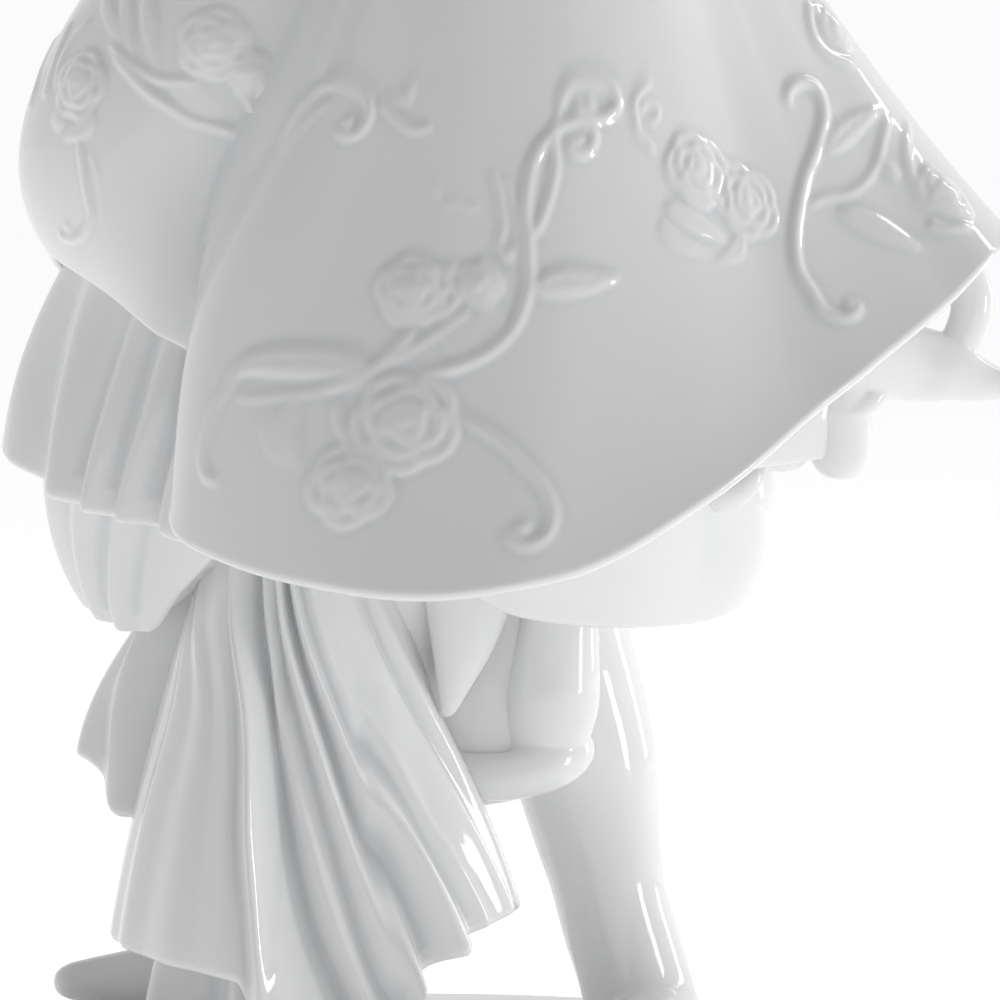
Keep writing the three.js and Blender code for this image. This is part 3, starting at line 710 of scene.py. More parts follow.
@dataclass(frozen=True)
class Layer:
    """One layer of the gown: it hangs from a ring and ends in a hem that its ribs state.

    A rib is (bearing, reach, height, lean[, flare]): lean is the cloth's angle at the hem and
    flare its angle at the top, in degrees from the vertical. A layer in panels tucks each panel's
    edge under the next one's, `tuck` degrees past the seam, sinking with the square of the way.
    """

    name: str
    top: Place
    axis: Spot
    depth: float
    flare: float
    rise: float
    ribs: tuple[tuple[float, ...], ...]
    reach: float = 0.0
    share: float = 0.0
    swirl: float = 0.0
    slant: Slant | None = None
    fan: Fan | None = None
    columns: tuple[tuple[float, float, int], ...] = ((0.0, 360.0, 180),)
    rows: tuple[tuple[float, float, int], ...] = ((0.0, 1.0, 60),)
    reliefs: tuple[Relief, ...] = ()
    hem: float = 2.3
    tuck: float = 0.0

    GRIP = 0.33
    RELIEF = 1.0
    SOFTENED = 2
    TUCK_DEPTH = 0.6
    TUCK_COLUMNS = 4
    LIP_ROWS = 7
    UNDER_ROWS = 8

    def column_of(self, index: int) -> Array:
        """One column of the ribs' table, with the layer's own flare where a rib states none."""
        return np.array([rib[index] if len(rib) > index else self.flare for rib in self.ribs])

    def place(self, bearing: Array, drop: Array) -> Array:
        """The place on the cloth at a bearing in degrees and a drop from 0 at the ring to 1 at the hem.

        The meridian is a cubic in reach and height, drawn by four knots, which leaves the ring at the
        flare and meets the hem at the lean. The axis moves from the ring's middle to the hem's,
        the section grows from an oval to a circle, and the bearing turns by the swirl on the way.

        Args:
            bearing: bearings in degrees, one row.
            drop: drops from 0 at the ring to 1 at the hem, one column.

        Returns:
            The places, rows by columns by 3.
        """
        bearings = self.column_of(0)
        reach, height, lean, flare = (
            around_the_axis(bearings, self.column_of(k), bearing) for k in (1, 2, 3, 4)
        )
        start = self.share * reach if self.share else np.full_like(reach, self.reach)
        pull = self.GRIP * np.hypot(reach - start, self.top[2] - height)
        lean, flare = np.radians(lean), np.radians(flare)
        knots_r = (start, start + pull * np.sin(flare), reach - pull * np.sin(lean), reach)
        top = np.full_like(reach, self.top[2])
        knots_z = (top, top - pull * np.cos(flare), height + pull * np.cos(lean), height)
        rest = 1 - drop
        shares = (rest**3, 3 * rest**2 * drop, 3 * rest * drop**2, drop**3)
        r = sum(share * knot for share, knot in zip(shares, knots_r))
        z = sum(share * knot for share, knot in zip(shares, knots_z))
        if self.fan:
            r = r + self.fan.stands_out(bearing, drop)
        turned = self.slant.turned(bearing, drop) if self.slant else bearing
        angle = np.radians(turned + self.swirl * rest)
        flat = self.depth + (1 - self.depth) * drop
        x = self.top[0] + (self.axis[0] - self.top[0]) * drop + r * np.cos(angle)
        y = self.top[1] + (self.axis[1] - self.top[1]) * drop + r * flat * np.sin(angle)
        return np.stack([x, y, z], -1)

    @staticmethod
    def steps(spans: Sequence[tuple[float, float, int]], closed: bool) -> Array:
        """Even steps over each span in turn, with or without the last span's end."""
        parts = [np.linspace(start, stop, count, endpoint=False) for start, stop, count in spans]
        return np.concatenate(parts if closed else [*parts, [spans[-1][1]]])

    def build(self) -> bpy.types.Object:
        """The layer as a closed piece: cloth with its pleats and ornament, rounded hem and underside.

        Returns:
            The object, with its crease depths written on it, for thicker glaze and painted shade.
        """
        first, last = self.columns[0][0], self.columns[-1][1]
        wrapped = abs(last - first - TURN) < 1e-6
        bearing = self.steps(self.columns, wrapped)[None, :]
        if self.tuck:
            beyond = self.tuck * np.arange(1, self.TUCK_COLUMNS + 1) / self.TUCK_COLUMNS
            bearing = np.concatenate([first - beyond[::-1], bearing[0], last + beyond])[None, :]
        drop = self.steps(self.rows, False)[:, None]
        cloth = self.place(bearing, drop)
        out = grid_normals(cloth, wrapped)
        if self.reliefs:
            height = carved(Ground(cloth, out), self.reliefs, cloth.shape[:2], self.SOFTENED)
            cloth = cloth + out * (self.RELIEF * height)[..., None]
            out = grid_normals(cloth, wrapped)
        if self.tuck:
            over = np.maximum(first - bearing, bearing - last) / self.tuck
            cloth = cloth - out * (self.TUCK_DEPTH * np.maximum(over, 0.0) ** 2)[..., None]
        lip = self.lip(cloth, out)
        under, pole = self.underside(lip[-1])
        rows, top = np.concatenate([cloth, lip, under]), np.array(self.top)
        if wrapped:
            shell = ring_shell(rows, top, pole)
        else:
            shell = panel_shell(rows, len(cloth) + len(lip), top, pole)
        # The cloth's hollowness goes to the glaze, which darkens creases: thicker glaze and painted shade.
        return with_pools_and_shade(mesh_object(self.name, [shell]), hollowness(cloth, out))

    def lip(self, cloth: Array, out: Array) -> Array:
        """The hem's rounded edge: half a circle from the outer face round to the inner one.

        Args:
            cloth: the cloth's places, the hem in the last row.
            out: the outward ways at them.

        Returns:
            The places round the lip, rows by columns by 3.
        """
        edge, away = cloth[-1], out[-1].copy()
        away[:, 2] = np.clip(away[:, 2], -0.5, 0.5)
        away = unit(away)
        down = unit(cloth[-1] - cloth[-4])
        half = self.hem / 2
        angles = np.linspace(0.0, np.pi, self.LIP_ROWS + 1)[1:, None, None]
        return edge - away * half + half * (away * np.cos(angles) + down * np.sin(angles))

    def underside(self, edge: Array) -> tuple[Array, Array]:
        """The vault under the layer, climbing steeply from the hem and levelling out at the axis.

        Even shares are taken to the power 1.6 for the way in, and the climb is 1 less (1 - the way in)
        to the power 2.6.

        Args:
            edge: the inner edge of the hem.

        Returns:
            Its rows of places and the pole that closes it.
        """
        pole = np.array([*self.axis, float(self.column_of(2).mean()) + self.rise])
        share = (np.linspace(0.0, 1.0, self.UNDER_ROWS + 2)[1:-1] ** 1.6)[:, None, None]
        level = edge + (pole - edge) * share
        level[..., 2] = edge[:, 2] + (pole[2] - edge[:, 2]) * (1 - (1 - share[..., 0]) ** 2.6)
        return level, pole


# The glaze.


class Value:
    """A number socket of a material, on which sums are written as they are in Python."""

    def __init__(self, bench: "Bench", socket: bpy.types.NodeSocket) -> None:
        """Wraps a socket of the bench's material."""
        self.bench = bench
        self.socket = socket

    def _sum(self, operation: str, *terms: "Value | float", held: bool = False) -> "Value":
        """The result of a Math node on this value and the terms.

        Args:
            operation: the node's operation.
            terms: what is added, taken away or compared.
            held: whether the result is held between 0 and 1.

        Returns:
            The node's output.
        """
        inputs = dict(enumerate((self, *terms)))
        node = self.bench.node("ShaderNodeMath", {"operation": operation, "use_clamp": held}, inputs)
        return Value(self.bench, node.outputs[0])

    def __add__(self, other: "Value | float") -> "Value":
        """This value plus another."""
        return self._sum("ADD", other)

    __radd__ = __add__

    def __mul__(self, other: "Value | float") -> "Value":
        """This value times another."""
        return self._sum("MULTIPLY", other)

    __rmul__ = __mul__

    def __sub__(self, other: "Value | float") -> "Value":
        """This value less another."""
        return self._sum("SUBTRACT", other)

    def __rsub__(self, other: float) -> "Value":
        """A number less this value."""
        return -1.0 * self + other

    def below(self, limit: float) -> "Value":
        """1 where this value is under the limit, else 0."""
        return self._sum("LESS_THAN", limit)

    def at_least(self, least: float) -> "Value":
        """This value, or the least one where it is under that."""
        return self._sum("MAXIMUM", least)

    def held(self) -> "Value":
        """This value held between 0 and 1."""
        return self._sum("ADD", 0.0, held=True)


class Bench:
    """The node tree of one material, or of the air round the studio, while it is being made."""

    def __init__(self, owner: bpy.types.Material | bpy.types.World) -> None:
        """Clears the owner's node tree.

        Args:
            owner: the material or world that is being made.
        """
        self.owner = owner
        owner.use_nodes = True
        self.tree = owner.node_tree
        self.tree.nodes.clear()

    def node(self, kind: str, settings: dict[str, object], inputs: dict[object, object]) -> bpy.types.Node:
        """Makes a node.

        Args:
            kind: the node's type.
            settings: its own settings, set before its sockets.
            inputs: values, sockets or `Value`s by socket name or number.

        Returns:
            The node.
        """
        made = self.tree.nodes.new(kind)
        for key, value in settings.items():
            setattr(made, key, value)
        for key, value in inputs.items():
            source = value.socket if isinstance(value, Value) else value
            if isinstance(source, bpy.types.NodeSocket):
                self.tree.links.new(source, made.inputs[key])
            else:
                made.inputs[key].default_value = source
        return made

    def value(self, node: bpy.types.Node, output: str | int = 0) -> Value:
        """A node's output as a value."""
        return Value(self, node.outputs[output])


@dataclass(frozen=True)
class WhiteGlaze:
    """Clear glaze over white porcelain: cooler and greyer in creases, where it gathers thicker and where
    shade is painted in, faintly waved, bare at the foot.
    """

    name: str = "white_glaze"
    white: tuple[float, float, float, float] = (0.87, 0.872, 0.872, 1.0)
    pool_tint_and_shade: tuple[float, float, float, float] = (0.735, 0.755, 0.775, 1.0)
    bare: tuple[float, float, float, float] = (0.80, 0.79, 0.77, 1.0)
    gloss: float = 0.055
    haze: float = 0.03
    dullness: float = 0.6
    cloud: float = 0.35
    cloud_scale: float = 45.0
    pool_and_shade_weight: float = 0.8
    clear: float = 0.12
    wave: float = 0.55
    orange_peel: float = 0.02
    peel_scale: float = 420.0
    wave_height: float = 0.0006
    foot: float = 0.35

    def material(self) -> bpy.types.Material:
        """The glaze as a material on Object coordinates and the pieces' own crease values, which tint the
        creases greyer: thicker glaze and painted shade.

        Returns:
            The material, which every piece of the figurine wears.
        """
        bench = Bench(bpy.data.materials.new(self.name))
        place = bench.node("ShaderNodeTexCoord", {}, {})
        where = place.outputs["Object"]
        cloud = {"Vector": where, "Scale": self.cloud_scale, "Detail": 2.0}
        slow = bench.node("ShaderNodeTexNoise", {}, cloud)
        peel = {"Vector": where, "Scale": self.peel_scale, "Detail": 1.5}
        fine = bench.node("ShaderNodeTexNoise", {}, peel)
        pool_and_shade = bench.node("ShaderNodeAttribute", {"attribute_name": "glaze_pool_and_shade"}, {})
        split = bench.node("ShaderNodeSeparateXYZ", {}, {"Vector": where})
        slow_value, fine_value = bench.value(slow), bench.value(fine)
        foot = bench.value(split, "Z").below(self.foot * MM)
        # Creases take the cooler, darker colour: partly thicker glaze, partly painted shade.
        depth = (bench.value(pool_and_shade, "Fac") * self.pool_and_shade_weight + slow_value * self.cloud - self.clear).held()
        # On a Mix node, sockets 6 and 7 are its two colours and output 2 is the mixed one.
        tint = bench.node(
            "ShaderNodeMix",
            {"data_type": "RGBA"},
            {"Factor": depth, 6: self.white, 7: self.pool_tint_and_shade},
        )
        colour = bench.node(
            "ShaderNodeMix", {"data_type": "RGBA"}, {"Factor": foot, 6: tint.outputs[2], 7: self.bare}
        )
        rough = slow_value * self.haze + self.gloss + foot * self.dullness
        wave = slow_value * self.wave + fine_value * self.orange_peel
        sockets = {"Height": wave, "Strength": 0.18, "Distance": self.wave_height}
        bump = bench.node("ShaderNodeBump", {}, sockets)
        surface = bench.node(
            "ShaderNodeBsdfPrincipled",
            {},
            {
                "Base Color": colour.outputs[2],
                "Roughness": rough,
                "IOR": 1.5,
                "Normal": bump.outputs[0],
                "Coat Weight": 0.25,
                "Coat Roughness": 0.03,
            },
        )
        bench.node("ShaderNodeOutputMaterial", {}, {"Surface": surface.outputs[0]})
        return bench.owner


@dataclass(frozen=True)
class PaleFloor:
    """A plain, matt, pale floor, lit from under as a light table is."""

    name: str = "pale_floor"
    colour: tuple[float, float, float, float] = (0.93, 0.93, 0.93, 1.0)
    glow: float = 0.53

    def material(self) -> bpy.types.Material:
        """The floor's paint as a material.

        Returns:
            The material.
        """
        bench = Bench(bpy.data.materials.new(self.name))
        surface = bench.node(
            "ShaderNodeBsdfPrincipled",
            {},
            {
                "Base Color": self.colour,
                "Roughness": 0.9,
                "Specular IOR Level": 0.2,
                "Emission Color": self.colour,
                "Emission Strength": self.glow,
            },
        )
        bench.node("ShaderNodeOutputMaterial", {}, {"Surface": surface.outputs[0]})
        return bench.owner


# The figures.


@dataclass(frozen=True)
class Loft:
    """A body run through level ovals: (x, y, z, half width, half depth), from its top down."""

    stations: tuple[tuple[float, float, float, float, float], ...]
    columns: int = 110
    rows: int = 120

    def shell(self) -> Shell:
        """The body: at each row, an oval of cosines across and sines deep.

        Returns:
            The closed shell.
        """
        sections = smooth_path(self.stations, self.rows)
        angle = np.linspace(0.0, 2 * np.pi, self.columns, endpoint=False)[None, :]
        x = sections[:, 0:1] + sections[:, 3:4] * np.cos(angle)
        y = sections[:, 1:2] + sections[:, 4:5] * np.sin(angle)
        z = np.broadcast_to(sections[:, 2:3], x.shape)
        return ring_shell(np.stack([x, y, z], -1))


@dataclass(frozen=True)
class Limb:
    """A limb of round section along its path: (x, y, z, radius), with a round end at each tip.

    Sleeve wrinkles swell it by `wrinkle` millimetres in waves along it that wind half round it.
    """

    stations: tuple[tuple[float, float, float, float], ...]
    squash: float = 1.0
    flat_way: Place = (0.0, 1.0, 0.2)
    columns: int = 48
    rows: int = 70
    cap: float = 0.14
    wrinkle: float = 0.0
    waves: float = 7.0

    def frames(self, path: Array) -> tuple[Array, Array, Array]:
        """The ways along, across and up at each row, carried along the path without a twist.

        Args:
            path: the middle of the limb at each row.

        Returns:
            The ways along the limb, across it and up from it, one row of each.
        """
        along = unit(np.gradient(path, axis=0))
        side, flat = np.empty_like(along), np.empty_like(along)
        up = np.array(self.flat_way, float)
        for row, way in enumerate(along):
            side[row] = unit(np.cross(way, up))
            up = np.cross(side[row], way)
            flat[row] = up
        return along, side, flat

    def shell(self) -> Shell:
        """The limb: rings round its path.

        In the caps at its tips the width follows the root of 1 less (1 - share of the cap) squared.

        Returns:
            The closed shell.
        """
        sections = smooth_path(self.stations, self.rows)
        path, radius = sections[:, :3], sections[:, 3]
        along, side, flat = self.frames(path)
        share = np.linspace(0.0, 1.0, self.rows)
        tip = np.clip(np.minimum(share, 1 - share) / self.cap, 0.0, 1.0)
        swell = radius * np.sqrt(1 - (1 - tip) ** 2)
        overhang = np.where(share < 0.5, -0.8, 0.8) * radius * (1 - tip)
        centre = path + along * overhang[:, None]
        angle = np.linspace(0.0, 2 * np.pi, self.columns, endpoint=False)[None, :]
        fold = self.wrinkle * np.sin(2 * np.pi * self.waves * share[:, None] + 1.6 * np.sin(angle + 0.7))
        reach = swell[:, None] + fold * (swell / radius)[:, None]
        rings = (
            centre[:, None]
            + side[:, None] * (reach * np.cos(angle))[..., None]
            + flat[:, None] * (reach * self.squash * np.sin(angle))[..., None]
        )
        return ring_shell(rings[1:-1], rings[0, 0], rings[-1, 0])


@dataclass(frozen=True)
class Egg:
    """An ellipsoid at a place, with half sizes along X, Y and Z."""

    middle: Place
    half: Place
    columns: int = 48
    rows: int = 32

    def shell(self) -> Shell:
        """The ellipsoid: a ball of sines and cosines, stretched by its half sizes.

        Returns:
            The closed shell.
        """
        fall = np.linspace(0.0, np.pi, self.rows + 2)[1:-1, None]
        angle = np.linspace(0.0, 2 * np.pi, self.columns, endpoint=False)[None, :]
        x, y = np.sin(fall) * np.cos(angle), np.sin(fall) * np.sin(angle)
        z = np.broadcast_to(np.cos(fall), x.shape)
        rings = np.array(self.middle) + np.stack([x, y, z], -1) * np.array(self.half)
        return ring_shell(rings)


@dataclass(frozen=True)
class Frill:
    """A gathered frill standing out from an oval line round a body.

    Its edge waves in and out with a cosine of its gathers, and its section is a flat loop that
    starts on the body and ends in a rounded lip.
    """

    middle: Place
    half: Spot
    out: float
    drop: float
    gathers: int
    wave: float = 0.9
    thick: float = 1.5
    dip: float = 0.0
    columns: int = 312

    def shell(self) -> Shell:
        """The frill as a closed ring of its own.

        Returns:
            The closed shell.
        """
        angle = np.linspace(0.0, 2 * np.pi, self.columns, endpoint=False)
        along = np.stack([np.cos(angle), np.sin(angle), np.zeros_like(angle)], -1)
        ring = along * np.array([*self.half, 0.0]) + np.array(self.middle)
        ring[:, 2] += self.dip * np.sin(angle)
        loop = np.linspace(0.0, 2 * np.pi, 13, endpoint=False)
        s, t = (1 - np.cos(loop)) / 2, np.sin(loop) / 2
        ripple = np.cos(self.gathers * angle)[:, None]
        out = s * self.out * (1 + 0.16 * ripple)
        lift = -s * self.drop + t * self.thick + self.wave * s * ripple
        rings = ring[:, None] + along[:, None] * out[..., None] + UP * lift[..., None]
        number = np.arange(rings.shape[0] * rings.shape[1]).reshape(rings.shape[:2])
        ahead, over = np.roll(number, -1, 0), np.roll(number, -1, 1)
        quads = np.stack([number, ahead, np.roll(ahead, -1, 1), over], -1).reshape(-1, 4)
        return Shell(rings.reshape(-1, 3), [quads]).outward()


@dataclass(frozen=True)
class Hand:
    """A slim hand: a flat palm from the wrist, four fingers side by side and a thumb.

    Places on it are shares of the way from the wrist to the tips, plus shares of its half width across
    the palm. The fingers bow out a little from the palm and close in towards their tips.
    """

    wrist: Place
    tips: Place
    thumb: Place
    half: float

    PALM = ((0.0, 0.78), (0.3, 1.0), (0.52, 0.98))
    FINGER_LENGTHS = (0.9, 1.0, 0.97, 0.84)
    FIRST_FINGER, FINGER_STEP = 0.72, 0.48
    FINGER_ROOT, FINGER_JOINT = 0.42, 0.75
    FINGER_THICKNESS = (0.27, 0.25, 0.2)
    THUMB_ROOT = 0.22
    THUMB_THICKNESS = (0.42, 0.34, 0.26)

    def shells(self) -> list[Shell]:
        """The hand's palm, fingers and thumb.

        Returns:
            A closed shell for each.
        """
        start, stop, out = (np.array(place, float) for place in (self.wrist, self.tips, self.thumb))
        way = stop - start
        flat = unit(np.cross(way, out - start))
        side = unit(np.cross(flat, way))
        palm = tuple((*(start + way * share), self.half * width) for share, width in self.PALM)
        shells = [Limb(palm, 0.5, tuple(flat), rows=40, cap=0.25).shell()]
        for k, length in enumerate(self.FINGER_LENGTHS):
            across = side * self.half * (self.FIRST_FINGER - self.FINGER_STEP * k)
            root = start + way * self.FINGER_ROOT + across
            middle = start + way * self.FINGER_JOINT * length + across * 0.95 + flat * 0.7
            end = start + way * length + across * 0.8 - flat * 0.4
            shells.append(self.digit((root, middle, end), self.FINGER_THICKNESS, flat))
        base = start + way * self.THUMB_ROOT
        shells.append(self.digit((base, base * 0.45 + out * 0.55, out), self.THUMB_THICKNESS, flat))
        return shells

    def digit(self, places: Sequence[Array], thickness: Sequence[float], flat: Array) -> Shell:
        """A finger or the thumb through three places, as thick there as shares of the half width."""
        stations = tuple((*place, self.half * share) for place, share in zip(places, thickness))
        return Limb(stations, 1.0, tuple(flat), columns=24, rows=30).shell()


@dataclass(frozen=True)
class Head:
    """A head with a calm, plain face, dressed hair and, where a chignon is given, a knot behind.

    The face is an egg whose front rises and sinks by bell-shaped features: (across, up, half
    width, half height, rise), in half widths and half heights of the head, in pairs off the middle.
    """

    middle: Place
    half: Place
    yaw: float
    pitch: float
    strands: int
    chignon: tuple[float, float, Place] | None = None

    FEATURES = (
        (0.38, 0.27, 0.24, 0.06, 0.7),
        (0.0, 0.08, 0.1, 0.2, 1.6),
        (0.0, -0.08, 0.1, 0.13, 1.7),
        (0.0, -0.2, 0.12, 0.075, 2.1),
        (0.13, -0.235, 0.065, 0.055, 1.1),
        (0.38, 0.12, 0.21, 0.12, -1.7),
        (0.38, 0.08, 0.155, 0.08, 1.6),
        (0.38, 0.15, 0.17, 0.02, -0.35),
        (0.38, 0.04, 0.15, 0.017, -0.4),
        (0.52, -0.2, 0.24, 0.24, 0.7),
        (0.0, -0.38, 0.035, 0.055, -0.3),
        (0.0, -0.465, 0.2, 0.036, 1.1),
        (0.0, -0.518, 0.2, 0.015, -0.7),
        (0.0, -0.572, 0.16, 0.045, 1.2),
        (0.2, -0.515, 0.05, 0.04, -0.4),
        (0.0, -0.69, 0.2, 0.05, -0.5),
        (0.0, -0.85, 0.25, 0.12, 1.8),
    )

    def turned(self, points: Array) -> Array:
        """Places of the upright head, tipped by the pitch, turned by the yaw and set in place.

        Args:
            points: places on the head as it stands upright about its own middle.

        Returns:
            The places on the figure.
        """
        a, b = math.radians(self.pitch), math.radians(self.yaw)
        tip = np.array([[1, 0, 0], [0, math.cos(a), -math.sin(a)], [0, math.sin(a), math.cos(a)]])
        spin = np.array([[math.cos(b), -math.sin(b), 0], [math.sin(b), math.cos(b), 0], [0, 0, 1]])
        return points @ (spin @ tip).T + np.array(self.middle)

    def ball(self, columns: int, rows: int) -> tuple[Array, Array, Array, Array]:
        """A ball's places, closer together in front: the way round is the angle less half its sine.

        Args:
            columns: places round the ball.
            rows: places from its top to its bottom, without the two poles.

        Returns:
            How far each place is across, to the front and up, in radii, and its way round.
        """
        angle = np.linspace(0.0, 2 * np.pi, columns, endpoint=False)[None, :]
        around = angle - 0.5 * np.sin(angle)
        fall = np.linspace(0.0, np.pi, rows + 2)[1:-1, None]
        across, front = np.sin(around) * np.sin(fall), np.cos(around) * np.sin(fall)
        return across, front, np.broadcast_to(np.cos(fall), across.shape), around

    def face_rise(self, across: Array, up: Array) -> Array:
        """How far the face rises: the sum of rise x exp(-(x squared) - (z squared)) over its features.

        Args:
            across: how far the places are off the middle, in half widths of the head.
            up: how high they are, in half heights.

        Returns:
            Millimetres at each place.
        """
        total = np.zeros_like(across)
        for x, z, width, height, rise in self.FEATURES:
            for place in (x, -x) if x else (0.0,):
                total = total + rise * np.exp(-(((across - place) / width) ** 2) - ((up - z) / height) ** 2)
        return total

    def face(self) -> Shell:
        """The face and skull: a ball that narrows below with the square of the way down.

        Returns:
            The closed shell.
        """
        width, depth, height = self.half
        across, front, up, _ = self.ball(200, 170)
        below = np.minimum(up, 0) ** 2
        jaw, throat = 1 - 0.3 * below, 1 - 0.1 * below
        rise = np.where(front > 0, self.face_rise(across / jaw, up) * np.minimum(front * 2, 1), 0)
        points = np.stack([across * width * jaw, -front * depth * throat - rise, up * height], -1)
        return ring_shell(self.turned(points))

    def hair(self) -> Shell:
        """The hair, combed back: a larger ball set behind the face, whose reach waves round it.

        The wave is a cosine for the locks and two faster ones for the strands in them, along ways round
        that sweep backwards with height, and it fades out at the crown and below.

        Returns:
            The closed shell.
        """
        width, depth, height = self.half
        across, front, up, around = self.ball(260, 150)
        sweep = around + 0.35 * np.sin(2.5 * up) * np.sin(around)
        locks = 0.035 * np.cos(self.strands * sweep) + 0.02 * np.cos(self.strands * 3 * sweep + 2 * up)
        fine = 0.009 * np.cos(self.strands * 8 * sweep + 3 * np.sin(4 * up))
        wave = 1 + (locks + fine) * np.sqrt(np.clip(1 - up**2, 0, 1))
        x, y = across * width * 1.1 * wave, 0.28 * depth - front * depth * 0.92 * wave
        z = (0.22 + 0.86 * up) * height * (0.5 + 0.5 * wave)
        return ring_shell(self.turned(np.stack([x, y, z], -1)))

    def knot(self) -> Shell:
        """The chignon: a ball whose reach follows two cosines that wind down it in a spiral.

        Returns:
            The closed shell.
        """
        back, rise, half = self.chignon
        across, front, up, around = self.ball(160, 100)
        coil = 1 + 0.05 * np.cos(3 * around + 9 * up) + 0.02 * np.cos(9 * around + 27 * up)
        x, y, z = across * half[0] * coil, back - front * half[1] * coil, rise + up * half[2] * coil
        return ring_shell(self.turned(np.stack([x, y, z], -1)))

    def ears(self) -> list[Shell]:
        """The ears, small upright eggs at the sides of the head.

        Returns:
            A closed shell for each.
        """
        width, depth, height = self.half
        shells = []
        for side in (-1, 1):
            egg = Egg((side * width * 0.97, 0.12 * depth, 0.02 * height), (1.9, 3.6, 5.6)).shell()
            shells.append(Shell(self.turned(egg.points), egg.faces))
        return shells

    def shells(self) -> list[Shell]:
        """The face, the hair, the ears and, where there is one, the chignon."""
        knot = [self.knot()] if self.chignon else []
        return [self.face(), self.hair(), *self.ears(), *knot]


# The sub-assemblies.


class Layers(Enum):
    """The layers of the gown, by the names of their pieces."""

    OVERSKIRT_FRONT = "overskirt_front"
    OVERSKIRT_SIDE = "overskirt_side"
    FIRST_FLOUNCE = "first_flounce"
    SECOND_FLOUNCE = "second_flounce"
    THIRD_FLOUNCE = "third_flounce"
    FRONT_FALL = "front_fall"
    PETTICOAT = "petticoat"


OVERSKIRT_RIBS = (
    (0, 100.5, 145.6, 43, 40), (14, 88, 137.6, 32, 40), (28, 66, 124, 18), (48, 50, 119, 8),
    (68, 40, 119, 4),
    (90, 38, 123, 0), (112, 41, 119, 4), (132, 54, 121, -4), (150, 65, 129, -14),
    (166, 72, 137.5, -25.5, 18), (182, 72, 143, -31.5, 11), (200, 64.8, 137, -26, 26), (213, 61, 131, -10),
    (221, 56, 126, -2), (226, 63, 109.2, 0), (231, 72, 99.2, 2), (236, 76, 96.2, 4), (251, 80, 91.2, 10),
    (266, 84, 89.2, 14), (282, 86, 92.2, 18), (302, 85, 105.2, 26), (316, 84, 116.6, 32),
    (328, 87, 126.4, 36), (340, 92.5, 136, 40, 39), (350, 98, 144.1, 43, 40),
)
CREASE = Slant(226, 16, (13, 13.5, 12.5, 6.6, -4.4, -3.2))
OVERSKIRT = {
    "top": (-2.0, -10.0, 259.0), "axis": (0.0, -12.0), "depth": 0.76, "flare": 36.0, "rise": 26.0,
    "reach": 19.0, "swirl": 25.0, "slant": CREASE, "ribs": OVERSKIRT_RIBS, "hem": 2.6, "tuck": 1.6,
}

